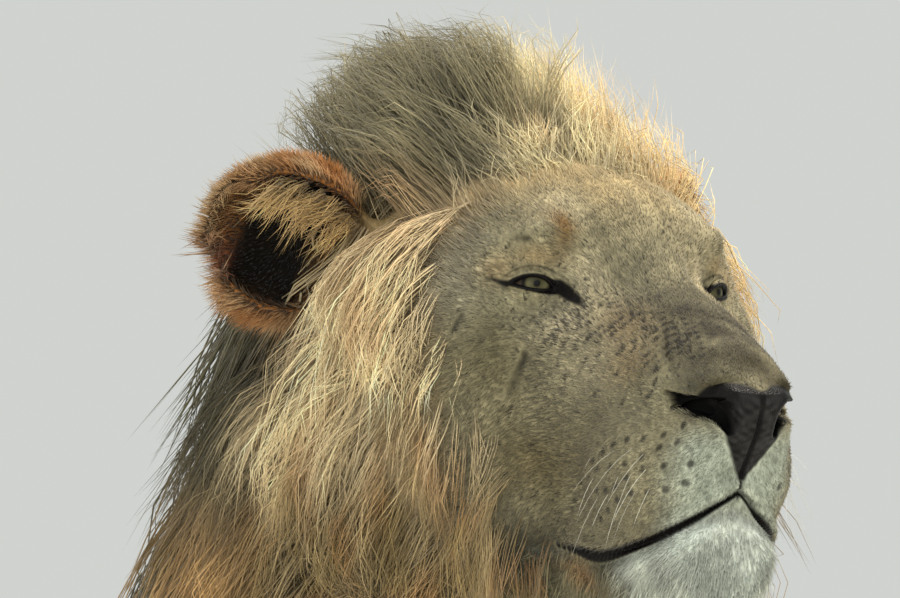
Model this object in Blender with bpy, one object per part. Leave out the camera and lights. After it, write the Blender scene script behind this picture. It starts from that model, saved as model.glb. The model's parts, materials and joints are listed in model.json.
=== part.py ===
"""A life-size standing male lion as closed solids, out to the tips of its coat. Metres, +Z up, facing -Y.

The animal is modelled whole: closed lofts and balls for its masses are joined, remeshed into one
surface, smoothed and thinned, and then parted with thin cuts into the pieces that a person would name.
The lion's left side is +X. At the end the origin is moved to the middle of the model's box, on the floor.
"""

import math

import bmesh
import bpy
import numpy as np
from mathutils import Matrix, Vector

# The gap between neighbouring pieces, and how the masses are melted into one surface and thinned.
GAP = 0.0003
VOXEL = 0.0085
SMOOTHING_ROUNDS = 5
TRIANGLES = 4900
FINE_SHARE = 0.62

# The head: where the middle of the line between the eyes is, and how far the head turns to its left.
EYE_MIDDLE = Vector((0.075, -1.035, 1.32))
HEAD_TURN = math.radians(20)

# Eyes: how far a ball's middle is aside and forward, and the almond that opens the lids in front of it.
EYE_RADIUS = 0.0190
EYE_ASIDE = 0.0535
EYE_FORWARD = -0.0165
EYE_OUTWARD = math.radians(28)
LID_OPENING = (0.026, 0.022, 0.0095)

# Ears: cups. Their roots, axes and openings are given as aside, forward and up from between the eyes.
EAR_ROOT = (0.094, -0.185, 0.025)
EAR_AXIS = {"left": (0.70, -0.48, 0.42), "right": (0.92, -0.12, 0.36)}
EAR_OPENING = (0.25, 0.86, -0.44)
EAR_LENGTH = 0.100
EAR_WIDTH = 0.108
EAR_DEPTH = 0.066
EAR_WALL = 0.011

# Feet: a fore paw's sizes, the hind paws' share of them, and where the middle of each paw stands.
HIND_PAW_SHARE = 0.92
PAW_WIDTH = 0.124
PAW_LENGTH = 0.165
PAW_HEIGHT = 0.078
FORE_LEG_Y = {"left": -0.425, "right": -0.465}
HIND_LEG_Y = {"left": 0.445, "right": 0.500}
FORE_ASIDE = 0.125
HIND_ASIDE = 0.120
ANKLE_BEHIND_PAW = 0.030
SWING_HEIGHT = 0.60

SIDES = {"left": 1, "right": -1}


# ---------------------------------------------------------------- small helpers


def clear_scene():
    """Removes every object of the startup scene."""
    for thing in list(bpy.data.objects):
        bpy.data.objects.remove(thing)


def paint(name, colour, roughness):
    """A Principled material with one colour."""
    material = bpy.data.materials.new(name)
    material.use_nodes = True
    shader = material.node_tree.nodes["Principled BSDF"]
    shader.inputs["Base Color"].default_value = (*colour, 1)
    shader.inputs["Roughness"].default_value = roughness
    shader.inputs["Metallic"].default_value = 0
    return material


def add_object(name, mesh, material=None):
    """Links a new object with that mesh and material."""
    thing = bpy.data.objects.new(name, mesh)
    bpy.context.scene.collection.objects.link(thing)
    if material:
        mesh.materials.append(material)
    return thing


def head_point(aside, forward, up):
    """A point given from between the eyes, with +aside on the lion's left, in the lion's own frame."""
    return EYE_MIDDLE + Matrix.Rotation(HEAD_TURN, 3, "Z") @ Vector((aside, -forward, up))


def head_matrix():
    """Places what is modelled round the origin, facing -Y, onto the head."""
    return Matrix.Translation(EYE_MIDDLE) @ Matrix.Rotation(HEAD_TURN, 4, "Z")


def smooth_rows(rows, steps):
    """Rows read from a Catmull-Rom curve through the given rows, with that many steps in each span."""
    rows = np.array(rows, float)
    padded = np.vstack([2 * rows[0] - rows[1], rows, 2 * rows[-1] - rows[-2]])
    t = np.arange(steps)[:, None] / steps
    spans = []
    for a, b, c, d in zip(padded, padded[1:], padded[2:], padded[3:]):
        spans.append(
            b + 0.5 * t * (c - a + t * (2 * a - 5 * b + 4 * c - d + t * (3 * (b - c) + d - a)))
        )
    return np.vstack([*spans, rows[-1:]])


# ---------------------------------------------------------------- masses


def ball(masses, centre, radii, turn=0.0, matrix=None):
    """Adds an egg of those radii, turned about Z, to the masses."""
    place = Matrix.Translation(centre) @ Matrix.Rotation(turn, 4, "Z") @ Matrix.Diagonal((*radii, 1))
    if matrix:
        place = matrix @ place
    bmesh.ops.create_uvsphere(masses, u_segments=32, v_segments=20, radius=1, matrix=place)


def loft(masses, stations, matrix=None, sides=32, steps=6):
    """Adds a closed tube through the stations: x, y, z, half-width, reach to the front or top, reach behind.

    A ring is an ellipse across the path. Its width lies along X, and its first reach points to the top
    where the path runs forward and to the front where it runs down. Both ends close on a rounded tip.
    """
    rows = smooth_rows(stations, steps)
    centres = rows[:, :3]
    along = np.gradient(centres, axis=0)
    along /= np.linalg.norm(along, axis=1)[:, None]
    across = np.array([1.0, 0, 0]) - along[:, :1] * along
    across /= np.linalg.norm(across, axis=1)[:, None]
    front = np.cross(along, across)
    angle = np.arange(sides) / sides * math.tau
    reach = np.where(np.sin(angle) > 0, rows[:, 4:5], rows[:, 5:6])
    rings = (
        centres[:, None]
        + across[:, None] * (rows[:, 3:4] * np.cos(angle))[:, :, None]
        + front[:, None] * (reach * np.sin(angle))[:, :, None]
    )
    tips = (
        centres[0] - along[0] * rows[0, 3:].min() * 0.5,
        centres[-1] + along[-1] * rows[-1, 3:].min() * 0.5,
    )
    place = matrix or Matrix.Identity(4)
    verts = [[masses.verts.new(place @ Vector(p)) for p in ring] for ring in rings]
    faces = []
    for ring, following in zip(verts, verts[1:]):
        for i in range(sides):
            j = (i + 1) % sides
            faces.append(masses.faces.new((ring[i], ring[j], following[j], following[i])))
    for ring, tip in ((verts[0], tips[0]), (verts[-1], tips[1])):
        point = masses.verts.new(place @ Vector(tip))
        for i in range(sides):
            faces.append(masses.faces.new((ring[i], ring[(i + 1) % sides], point)))
    bmesh.ops.recalc_face_normals(masses, faces=faces)


def mirrored(stations, sign):
    """The stations with their X taken to one side."""
    return [(sign * row[0], *row[1:]) for row in stations]


def with_foot_at(stations, foot_y):
    """The stations of a leg swung from its elbow or knee so that the last one stands at foot_y."""
    distance = foot_y - stations[-1][1]
    moved = []
    for row in stations:
        share = min(1.0, max(0.0, 1 - row[2] / SWING_HEIGHT))
        moved.append((row[0], row[1] + distance * share, *row[2:]))
    return moved


def add_trunk(masses):
    """Chest, belly and rump: a loft run forward from the rump, deep at the chest and tucked at the loin."""
    loft(
        masses,
        [
            (0, 0.640, 0.930, 0.060, 0.070, 0.085),
            (0, 0.590, 0.925, 0.120, 0.135, 0.150),
            (0, 0.480, 0.915, 0.160, 0.180, 0.180),
            (0, 0.330, 0.900, 0.172, 0.190, 0.222),
            (0, 0.140, 0.880, 0.192, 0.202, 0.245),
            (0, -0.080, 0.870, 0.208, 0.218, 0.262),
            (0, -0.280, 0.860, 0.214, 0.258, 0.272),
            (0, -0.450, 0.865, 0.204, 0.275, 0.262),
            (0, -0.590, 0.880, 0.150, 0.200, 0.190),
            (0, -0.650, 0.890, 0.090, 0.120, 0.110),
        ],
    )


def add_fore_leg(masses, sign, foot_y):
    """Shoulder, upper arm, forearm and wrist of one fore leg, then its paw."""
    stations = [
        (0.105, -0.400, 1.020, 0.060, 0.090, 0.090),
        (0.145, -0.450, 0.900, 0.078, 0.120, 0.120),
        (0.155, -0.440, 0.770, 0.076, 0.110, 0.118),
        (0.146, -0.385, 0.650, 0.066, 0.088, 0.100),
        (0.138, -0.385, 0.540, 0.060, 0.072, 0.082),
        (0.131, -0.400, 0.400, 0.054, 0.060, 0.066),
        (0.127, -0.415, 0.260, 0.049, 0.052, 0.056),
        (FORE_ASIDE, -0.428, 0.190, 0.048, 0.050, 0.052),
        (FORE_ASIDE, -0.440, 0.120, 0.046, 0.047, 0.048),
        (FORE_ASIDE, -0.450, 0.070, 0.048, 0.050, 0.052),
    ]
    loft(masses, with_foot_at(mirrored(stations, sign), foot_y))
    add_paw(masses, Vector((sign * FORE_ASIDE, foot_y, 0)), 1.0)


def add_hind_leg(masses, sign, foot_y):
    """Thigh, shank, hock and metatarsus of one hind leg, then its paw."""
    stations = [
        (0.080, 0.500, 1.000, 0.060, 0.110, 0.080),
        (0.122, 0.450, 0.890, 0.080, 0.150, 0.140),
        (0.140, 0.400, 0.770, 0.078, 0.138, 0.140),
        (0.145, 0.355, 0.660, 0.068, 0.105, 0.118),
        (0.140, 0.375, 0.560, 0.056, 0.080, 0.088),
        (0.133, 0.450, 0.450, 0.046, 0.058, 0.064),
        (0.127, 0.530, 0.355, 0.038, 0.046, 0.052),
        (0.123, 0.552, 0.290, 0.037, 0.044, 0.046),
        (HIND_ASIDE, 0.540, 0.200, 0.037, 0.042, 0.042),
        (HIND_ASIDE, 0.520, 0.110, 0.039, 0.042, 0.044),
        (HIND_ASIDE, 0.505, 0.065, 0.042, 0.046, 0.048),
    ]
    loft(masses, with_foot_at(mirrored(stations, sign), foot_y + ANKLE_BEHIND_PAW))
    add_paw(masses, Vector((sign * HIND_ASIDE, foot_y, 0)), HIND_PAW_SHARE)


def add_paw(masses, foot, scale):
    """A broad paw: a domed back, four toes in an arc and a heel pad. Its sole is cut flat later."""
    width, length, height = PAW_WIDTH * scale, PAW_LENGTH * scale, PAW_HEIGHT * scale
    ball(masses, foot + Vector((0, 0, height * 0.42)), (width * 0.42, length * 0.42, height * 0.62))
    heel = foot + Vector((0, length * 0.20, height * 0.25))
    ball(masses, heel, (width * 0.36, length * 0.28, height * 0.42))
    for aside, forward in ((-0.36, 0.22), (-0.13, 0.34), (0.13, 0.34), (0.36, 0.22)):
        toe = foot + Vector((aside * width, -forward * length, height * 0.30))
        ball(masses, toe, (width * 0.155, length * 0.21, height * 0.42), turn=-aside * 0.5)


def tail_stations():
    """The tail's path: back from the rump, down behind the hind legs and out in a shallow S."""
    return [
        (0.000, 0.560, 0.985, 0.050, 0.050, 0.050),
        (0.000, 0.655, 0.960, 0.036, 0.036, 0.036),
        (0.004, 0.730, 0.880, 0.027, 0.027, 0.027),
        (0.012, 0.765, 0.760, 0.022, 0.022, 0.022),
        (0.022, 0.780, 0.620, 0.019, 0.019, 0.019),
        (0.032, 0.800, 0.490, 0.018, 0.018, 0.018),
        (0.042, 0.845, 0.380, 0.022, 0.022, 0.022),
        (0.050, 0.890, 0.310, 0.036, 0.036, 0.036),
        (0.056, 0.930, 0.240, 0.046, 0.046, 0.046),
        (0.060, 0.955, 0.170, 0.034, 0.034, 0.034),
        (0.062, 0.962, 0.120, 0.012, 0.012, 0.012),
    ]


def add_neck_and_mane(masses):
    """The mane from behind the ears to the chest, with the neck, throat hair and shoulder cape in it."""
    loft(
        masses,
        [
            (0.000, -0.300, 0.910, 0.195, 0.200, 0.250),
            (0.000, -0.430, 0.925, 0.226, 0.215, 0.265),
            (0.000, -0.560, 0.990, 0.236, 0.225, 0.275),
            (0.000, -0.670, 1.085, 0.222, 0.222, 0.262),
            (0.008, -0.760, 1.185, 0.200, 0.232, 0.235),
            (0.018, -0.825, 1.265, 0.176, 0.222, 0.205),
            (0.030, -0.872, 1.315, 0.140, 0.180, 0.160),
        ],
    )
    ball(masses, (0, -0.690, 0.905), (0.165, 0.150, 0.190))


def add_head(masses):
    """Skull, cheeks, muzzle, chin and brows, and the hair on the head: the crest, ruffs and beard."""
    place = head_matrix()
    loft(
        masses,
        [
            (0, 0.250, 0.000, 0.070, 0.070, 0.085),
            (0, 0.190, 0.000, 0.100, 0.088, 0.115),
            (0, 0.120, -0.005, 0.116, 0.093, 0.130),
            (0, 0.060, -0.020, 0.106, 0.100, 0.140),
            (0, 0.025, -0.035, 0.090, 0.098, 0.140),
            (0, -0.005, -0.048, 0.076, 0.083, 0.130),
            (0, -0.035, -0.060, 0.065, 0.070, 0.120),
            (0, -0.070, -0.072, 0.056, 0.061, 0.105),
            (0, -0.105, -0.085, 0.049, 0.056, 0.085),
            (0, -0.135, -0.096, 0.041, 0.054, 0.062),
            (0, -0.157, -0.099, 0.032, 0.046, 0.044),
            (0, -0.172, -0.101, 0.026, 0.033, 0.030),
        ],
        matrix=place,
    )
    loft(
        masses,
        [
            (0, 0.100, -0.130, 0.075, 0.050, 0.060),
            (0, 0.020, -0.140, 0.066, 0.050, 0.052),
            (0, -0.040, -0.150, 0.056, 0.040, 0.046),
            (0, -0.090, -0.160, 0.050, 0.038, 0.044),
            (0, -0.122, -0.168, 0.039, 0.032, 0.040),
            (0, -0.136, -0.170, 0.028, 0.024, 0.030),
        ],
        matrix=place,
    )
    for sign in SIDES.values():
        ball(masses, (sign * 0.070, 0.080, -0.058), (0.053, 0.083, 0.092), matrix=place)
        ball(masses, (sign * 0.040, 0.010, 0.022), (0.035, 0.034, 0.026), matrix=place)
        ball(masses, (sign * 0.019, -0.120, -0.077), (0.020, 0.050, 0.026), matrix=place)
        ball(masses, (sign * 0.056, 0.045, -0.124), (0.043, 0.075, 0.058), matrix=place)
        ball(masses, (sign * 0.031, -0.088, -0.114), (0.031, 0.058, 0.046), turn=-sign * 0.25, matrix=place)
        ball(masses, (sign * 0.096, 0.150, -0.105), (0.070, 0.078, 0.112), matrix=place)
    ball(masses, (0, 0.090, -0.165), (0.085, 0.110, 0.070), matrix=place)
    ball(masses, (0, -0.075, -0.185), (0.034, 0.050, 0.030), matrix=place)
    loft(
        masses,
        [
            (0.03, 0.410, -0.110, 0.110, 0.120, 0.100),
            (0.00, 0.310, -0.005, 0.126, 0.134, 0.100),
            (-0.03, 0.230, 0.042, 0.116, 0.134, 0.080),
            (-0.02, 0.160, 0.058, 0.094, 0.124, 0.070),
            (0, 0.100, 0.058, 0.072, 0.102, 0.060),
            (0, 0.055, 0.050, 0.054, 0.070, 0.050),
            (0, 0.025, 0.042, 0.034, 0.044, 0.040),
        ],
        matrix=place,
    )
    ball(masses, (0.100, 0.140, 0.050), (0.048, 0.048, 0.070), matrix=place)
    ball(masses, (-0.062, 0.200, 0.082), (0.074, 0.080, 0.078), matrix=place)


def modelled_body():
    """The whole animal but its ears and eyes, melted into one surface."""
    masses = bmesh.new()
    add_trunk(masses)
    for side, sign in SIDES.items():
        add_fore_leg(masses, sign, FORE_LEG_Y[side])
        add_hind_leg(masses, sign, HIND_LEG_Y[side])
    loft(masses, tail_stations())
    add_neck_and_mane(masses)
    add_head(masses)
    mesh = bpy.data.meshes.new("lion_masses")
    masses.to_mesh(mesh)
    masses.free()
    body = add_object("lion_masses", mesh)
    melt = body.modifiers.new("melt", "REMESH")
    melt.mode = "VOXEL"
    melt.voxel_size = VOXEL
    ease = body.modifiers.new("ease", "SMOOTH")
    ease.factor = 0.5
    ease.iterations = SMOOTHING_ROUNDS
    return baked(body, "lion_dense")


# ---------------------------------------------------------------- cutting


def baked(thing, name):
    """A new object with the mesh that the modifiers leave. The object itself is removed."""
    graph = bpy.context.evaluated_depsgraph_get()
    mesh = bpy.data.meshes.new_from_object(thing.evaluated_get(graph))
    mesh.transform(thing.matrix_world)
    bpy.data.objects.remove(thing)
    return add_object(name, mesh)


def thinned(thing, triangles):
    """The object with about that many triangles, most of them kept on the head and feet."""
    weights = thing.vertex_groups.new(name="thin_here")
    points = np.empty(len(thing.data.vertices) * 3, np.float32)
    thing.data.vertices.foreach_get("co", points)
    points = points.reshape(-1, 3)
    face = np.linalg.norm(points - np.array(head_point(0, 0.03, -0.06)), axis=1) < 0.17
    feet = points[:, 2] < 0.10
    weights.add(np.flatnonzero(~(face | feet)).tolist(), 1.0, "REPLACE")
    weights.add(np.flatnonzero(face | feet).tolist(), FINE_SHARE, "REPLACE")
    thin = thing.modifiers.new("thin", "DECIMATE")
    thin.ratio = triangles / sum(len(p.vertices) - 2 for p in thing.data.polygons)
    thin.vertex_group = weights.name
    thin.vertex_group_factor = 1.0
    thin.use_collapse_triangulate = True
    return baked(thing, "lion_whole")


def hidden_cutter(thing):
    """Marks a helper so that the build leaves it out."""
    thing.hide_render = True
    thing.display_type = "WIRE"
    return thing


def boolean(thing, cutter, operation):
    """Adds one Boolean to the object."""
    cut = thing.modifiers.new(operation.lower(), "BOOLEAN")
    cut.operation = operation
    cut.object = cutter
    cut.solver = "EXACT"


def box_cutter(name, low, high, grow=0.0, matrix=None):
    """A box between two corners, grown on every side, placed by a matrix."""
    low = Vector(low) - Vector((grow, grow, grow))
    high = Vector(high) + Vector((grow, grow, grow))
    tool = bmesh.new()
    place = Matrix.Translation((low + high) / 2) @ Matrix.Diagonal((*(high - low), 1))
    bmesh.ops.create_cube(tool, size=1, matrix=(matrix or Matrix.Identity(4)) @ place)
    mesh = bpy.data.meshes.new(name)
    tool.to_mesh(mesh)
    tool.free()
    return hidden_cutter(add_object(name, mesh))


def prism_cutter(name, outline, half_width, matrix):
    """A side outline of (forward, up) points carried across from one side to the other."""
    tool = bmesh.new()
    near = [tool.verts.new((-half_width, -forward, up)) for forward, up in outline]
    far = [tool.verts.new((half_width, -forward, up)) for forward, up in outline]
    tool.faces.new(near)
    tool.faces.new(far[::-1])
    for i, (a, b) in enumerate(zip(near, far)):
        j = (i + 1) % len(near)
        tool.faces.new((b, far[j], near[j], a)[::-1])
    bmesh.ops.recalc_face_normals(tool, faces=tool.faces)
    mesh = bpy.data.meshes.new(name)
    tool.to_mesh(mesh)
    tool.free()
    mesh.transform(matrix)
    return hidden_cutter(add_object(name, mesh))


def solid(name, source, keep, cutters, material):
    """A node: the part of the source inside one cutter, with others taken from it, largest piece only."""
    thing = add_object(name + "_uncut", source.data.copy())
    if keep:
        boolean(thing, keep, "INTERSECT")
    for cutter in cutters:
        boolean(thing, cutter, "DIFFERENCE")
    thing = baked(thing, name)
    keep_largest(thing)
    thing.data.materials.clear()
    thing.data.materials.append(material)
    return thing


def keep_largest(thing):
    """Removes the crumbs that a cut leaves: all but the piece with the most vertices."""
    form = bmesh.new()
    form.from_mesh(thing.data)
    left = set(form.verts)
    pieces = []
    while left:
        piece = set()
        edge = [left.pop()]
        while edge:
            vert = edge.pop()
            piece.add(vert)
            for link in vert.link_edges:
                other = link.other_vert(vert)
                if other in left:
                    left.discard(other)
                    edge.append(other)
        pieces.append(piece)
    pieces.sort(key=len)
    crumbs = [vert for piece in pieces[:-1] for vert in piece]
    bmesh.ops.delete(form, geom=crumbs, context="VERTS")
    form.to_mesh(thing.data)
    form.free()
    thing.data.shade_smooth()
    thing.data.set_sharp_from_angle(angle=math.radians(50))


def ball_object(name, centre, radii, matrix, segments=16, rings=10):
    """An egg as an object of its own."""
    form = bmesh.new()
    place = matrix @ Matrix.Translation(centre) @ Matrix.Diagonal((*radii, 1))
    bmesh.ops.create_uvsphere(form, u_segments=segments, v_segments=rings, radius=1, matrix=place)
    mesh = bpy.data.meshes.new(name)
    form.to_mesh(mesh)
    form.free()
    return add_object(name, mesh)


def make_eye(side, from_head, material):
    """An eyeball, the slightly larger ball that makes its socket, and the almond between the lids."""
    centre = (SIDES[side] * EYE_ASIDE, -EYE_FORWARD, 0)
    eye = ball_object("eye_" + side, centre, (EYE_RADIUS,) * 3, head_matrix())
    eye.data.materials.append(material)
    eye.data.shade_smooth()
    socket = ball_object("socket_" + side, centre, (EYE_RADIUS + 1.2 * GAP,) * 3, head_matrix())
    from_head.append(hidden_cutter(socket))
    outward = Matrix.Rotation(SIDES[side] * EYE_OUTWARD, 4, "Z")
    look = head_matrix() @ Matrix.Translation(centre) @ outward
    opening = ball_object("lids_" + side, (0, -EYE_RADIUS * 1.25, 0), LID_OPENING, look)
    from_head.append(hidden_cutter(opening))


def ear_matrix(side):
    """Stands the ear on its root: +Z runs from root to tip, and the cup opens to -Y."""
    sign = SIDES[side]
    aside, forward, up = EAR_AXIS[side]
    axis = Vector((sign * aside, -forward, up)).normalized()
    opening = Vector((sign * EAR_OPENING[0], -EAR_OPENING[1], EAR_OPENING[2]))
    opening = (opening - opening.dot(axis) * axis).normalized()
    back = -opening
    across = back.cross(axis)
    turn = Matrix((across, back, axis)).transposed().to_4x4()
    root = Vector((sign * EAR_ROOT[0], -EAR_ROOT[1], EAR_ROOT[2]))
    return head_matrix() @ Matrix.Translation(root) @ turn


def make_ear(side, body, material):
    """A rounded cup hollowed by a smaller egg, trimmed by the head. The right one has a torn edge."""
    place = ear_matrix(side)
    half = EAR_LENGTH / 2
    cup_radii = (EAR_WIDTH / 2, EAR_DEPTH / 2, half * 1.12)
    cup = ball_object("cup_" + side, (0, 0, half), cup_radii, place)
    hollow = ball_object(
        "hollow_" + side,
        (0, -EAR_DEPTH * 0.62, half * 0.96),
        (EAR_WIDTH / 2 - EAR_WALL * 0.55, EAR_DEPTH * 0.92, half * 1.12 - EAR_WALL * 0.7),
        place,
    )
    boolean(cup, hidden_cutter(hollow), "DIFFERENCE")
    if side == "right":
        torn_at = (-EAR_WIDTH * 0.36, 0, EAR_LENGTH * 0.90)
        tear = ball_object("tear", torn_at, (0.007, 0.050, 0.016), place, 8, 6)
        boolean(cup, hidden_cutter(tear), "DIFFERENCE")
    swollen = add_object("swollen_" + side, body.data.copy())
    swell = swollen.modifiers.new("swell", "DISPLACE")
    swell.strength = GAP * 1.3
    swell.mid_level = 0
    boolean(cup, hidden_cutter(swollen), "DIFFERENCE")
    ear = baked(cup, "ear_" + side)
    keep_largest(ear)
    ear.data.materials.append(material)
    return ear


def leg_boxes(front):
    """The boxes that hold one leg on the left: its name parts, low corner and high corner."""
    if front:
        return [
            ("fore_leg_upper", (0.075, -0.620, 0.420), (0.320, -0.240, 0.700)),
            ("fore_leg_lower", (0.020, -0.620, 0.150), (0.320, -0.240, 0.420)),
            ("fore_paw", (0.020, -0.640, 0.000), (0.320, -0.240, 0.150)),
        ]
    return [
        ("hind_leg_upper", (0.055, 0.150, 0.480), (0.320, 0.660, 0.760)),
        ("hind_leg_lower", (0.020, 0.250, 0.140), (0.320, 0.720, 0.480)),
        ("hind_paw", (0.020, 0.250, 0.000), (0.320, 0.720, 0.140)),
    ]


def make_legs(body, from_trunk, coat):
    """Twelve leg nodes. The soles come out flat, because the paw boxes end at the floor."""
    for side, sign in SIDES.items():
        for front in (True, False):
            for name, low, high in leg_boxes(front):
                first = (min(sign * low[0], sign * high[0]), *low[1:])
                last = (max(sign * low[0], sign * high[0]), *high[1:])
                box = box_cutter(f"box_{name}_{side}", first, last, -GAP / 2)
                solid(f"{name}_{side}", body, box, [], coat)
                from_trunk.append(box_cutter(f"clear_{name}_{side}", first, last, GAP / 2))


def settle():
    """Moves every object so that the origin is the middle of the model's box, on the floor."""
    shown = [thing for thing in bpy.data.objects if not thing.hide_render]
    corners = [thing.matrix_world @ Vector(c) for thing in shown for c in thing.bound_box]
    low = [min(c[i] for c in corners) for i in range(3)]
    high = [max(c[i] for c in corners) for i in range(3)]
    shift = Vector((-(low[0] + high[0]) / 2, -(low[1] + high[1]) / 2, -low[2]))
    for thing in bpy.data.objects:
        thing.location += shift


def head_cutters(place):
    """The box that holds the head, the slightly larger one that clears it, and the same for the jaw."""
    low, high = (-0.30, -0.30, -0.265), (0.30, 0.205, 0.32)
    head_box = box_cutter("box_head", low, high, -GAP / 2, place)
    head_clear = box_cutter("clear_head", low, high, GAP / 2, place)
    mouth = [(0.148, -0.1345), (0.123, -0.150), (0.090, -0.163), (0.050, -0.167), (0.014, -0.160)]
    jaw = [(0.230, -0.130), *mouth, (0.014, -0.2645), (0.230, -0.2645)]
    jaw_box = prism_cutter("box_jaw", [(forward, up - GAP) for forward, up in jaw], 0.20, place)
    behind = 0.014 - GAP
    around = [(0.240, -0.130), *mouth[:-1], (behind, -0.160), (behind, -0.30), (0.240, -0.30)]
    jaw_clear = prism_cutter("clear_jaw", around, 0.21, place)
    return head_box, head_clear, jaw_box, jaw_clear


def main():
    """Builds the lion."""
    clear_scene()
    coat = paint("short_coat", (0.42, 0.33, 0.20), 0.85)
    face_coat = paint("face_coat", (0.40, 0.34, 0.23), 0.85)
    mane_coat = paint("mane", (0.30, 0.22, 0.12), 0.9)
    chin_coat = paint("chin_coat", (0.62, 0.58, 0.48), 0.9)
    ear_coat = paint("ear_coat", (0.38, 0.19, 0.07), 0.9)
    tuft_coat = paint("tuft_coat", (0.06, 0.045, 0.03), 0.9)
    eye_paint = paint("eye", (0.33, 0.27, 0.12), 0.15)

    body = hidden_cutter(thinned(modelled_body(), TRIANGLES))
    head_box, head_clear, jaw_box, jaw_clear = head_cutters(head_matrix())
    neck_turn = Matrix.Translation((0, -0.50, 0.95)) @ Matrix.Rotation(math.radians(-44), 4, "X")
    neck_low, neck_high = (-0.40, -0.90, -0.80), (0.40, 0.0, 0.80)
    neck_box = box_cutter("box_neck", neck_low, neck_high, -GAP / 2, neck_turn)
    neck_clear = box_cutter("clear_neck", neck_low, neck_high, GAP / 2, neck_turn)
    tail_low, tail_high = (-0.15, 0.668, 0.400), (0.15, 1.10, 1.10)
    tail_box = box_cutter("box_tail", tail_low, tail_high, -GAP / 2)
    tail_clear = box_cutter("clear_tail", tail_low, tail_high, GAP / 2)
    tuft_box = box_cutter("box_tuft", (-0.09, 0.668, 0.020), (0.20, 1.10, 0.400), -GAP / 2)

    from_head = [jaw_clear]
    for side in SIDES:
        make_eye(side, from_head, eye_paint)
        make_ear(side, body, ear_coat)
    solid("head", body, head_box, from_head, face_coat)
    solid("lower_jaw", body, jaw_box, [], chin_coat)
    solid("neck", body, neck_box, [head_clear], mane_coat)
    solid("tail", body, tail_box, [], coat)
    solid("tail_tuft", body, tuft_box, [], tuft_coat)
    from_trunk = [head_clear, neck_clear, tail_clear]
    make_legs(body, from_trunk, coat)
    solid("trunk", body, None, from_trunk, coat)
    settle()


if __name__ == "__main__":
    main()
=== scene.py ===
# %% [markdown]
# # A standing lion, life size
#
# A lion is one soft animal in one skin, and what the eye meets is its coat. So the lesson has two
# halves. First comes one closed skin, lofted from rings and eggs, with the face cut in finer detail.
# Then the coat is grown on it, tuft by tuft, short and flat on the face and long in the mane.
# Each step says what the thing is on the real animal and why this way of making it was chosen.

# %% The fixed frame
import bpy
import bmesh
import numpy as np
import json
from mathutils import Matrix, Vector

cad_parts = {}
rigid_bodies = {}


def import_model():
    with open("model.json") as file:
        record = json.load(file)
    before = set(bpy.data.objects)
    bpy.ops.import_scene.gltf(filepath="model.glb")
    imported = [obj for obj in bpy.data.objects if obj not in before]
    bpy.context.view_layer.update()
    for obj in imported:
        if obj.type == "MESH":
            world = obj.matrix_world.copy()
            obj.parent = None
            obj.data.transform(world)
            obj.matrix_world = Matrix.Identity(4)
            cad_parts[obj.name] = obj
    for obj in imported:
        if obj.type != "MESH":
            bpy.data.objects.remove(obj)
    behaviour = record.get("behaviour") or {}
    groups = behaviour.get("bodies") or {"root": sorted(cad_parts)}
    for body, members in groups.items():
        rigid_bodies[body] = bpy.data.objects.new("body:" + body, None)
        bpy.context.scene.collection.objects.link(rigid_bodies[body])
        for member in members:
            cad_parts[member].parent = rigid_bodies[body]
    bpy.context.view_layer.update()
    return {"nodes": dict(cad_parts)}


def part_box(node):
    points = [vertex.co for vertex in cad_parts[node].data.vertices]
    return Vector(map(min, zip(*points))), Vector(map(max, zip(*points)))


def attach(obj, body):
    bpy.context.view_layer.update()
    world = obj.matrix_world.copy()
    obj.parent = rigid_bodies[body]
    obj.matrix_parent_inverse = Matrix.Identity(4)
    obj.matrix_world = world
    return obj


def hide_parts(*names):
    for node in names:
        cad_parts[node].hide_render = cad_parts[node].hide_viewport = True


for thing in list(bpy.data.objects):
    bpy.data.objects.remove(thing)
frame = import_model()
rng = np.random.default_rng(11)
print("nodes to dress:", len(frame["nodes"]))

# %% [markdown]
# ## Where the head is
#
# The head is turned a little to the lion's left. Every measure of the face is easier to read in the
# head's own frame, which starts midway between the eyes: x to the lion's left, y backward, z up.
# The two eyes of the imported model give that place. The body's stations were laid out with the eyes
# in another place, so the whole body is moved along with them.

# %% The head's own frame
HEAD_TURN = np.radians(20)
cos_turn, sin_turn = np.cos(HEAD_TURN), np.sin(HEAD_TURN)
TURN = np.array([[cos_turn, -sin_turn, 0], [sin_turn, cos_turn, 0], [0, 0, 1]])
EYE_BACK = 0.0165
EYES_AS_LAID_OUT = (0.075, -1.035, 1.32)
eye_corners = np.array([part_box(name) for name in ("eye_left", "eye_right")])
EYE_MIDDLE = eye_corners.mean((0, 1)) - TURN @ (0, EYE_BACK, 0)
BODY_SHIFT = EYE_MIDDLE - EYES_AS_LAID_OUT


def to_world(points):
    """Head frame to the model's frame: turn about the upright axis, then move to the eyes' middle."""
    return np.asarray(points, float) @ TURN.T + EYE_MIDDLE


def to_head(points):
    """The model's frame to the head frame, the inverse of to_world."""
    return (points - EYE_MIDDLE) @ TURN


print("eyes' middle:", EYE_MIDDLE.round(4))

# %% [markdown]
# ## Rings carried along a path
#
# A neck, a leg, a muzzle or a tail is a tube whose section changes slowly. Each is given by a few
# stations: the place of its middle, its half width, and how far it reaches to the front and to the
# back. A smooth curve runs through the stations, and an oval ring is carried along it. Rounder
# lumps, such as a cheek or a toe, are eggs. All of them overlap, and are fused afterwards.

# %% Tools for closed forms
def unit(vectors):
    """Each vector divided by its own length."""
    return vectors / np.maximum(np.linalg.norm(vectors, axis=-1, keepdims=True), 1e-9)


def fade(low, high, values):
    """0 below low, 1 above high, and 3t² - 2t³ between them. It falls instead where low is over high."""
    t = np.clip((values - low) / (high - low), 0, 1)
    return t * t * (3 - 2 * t)


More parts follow.
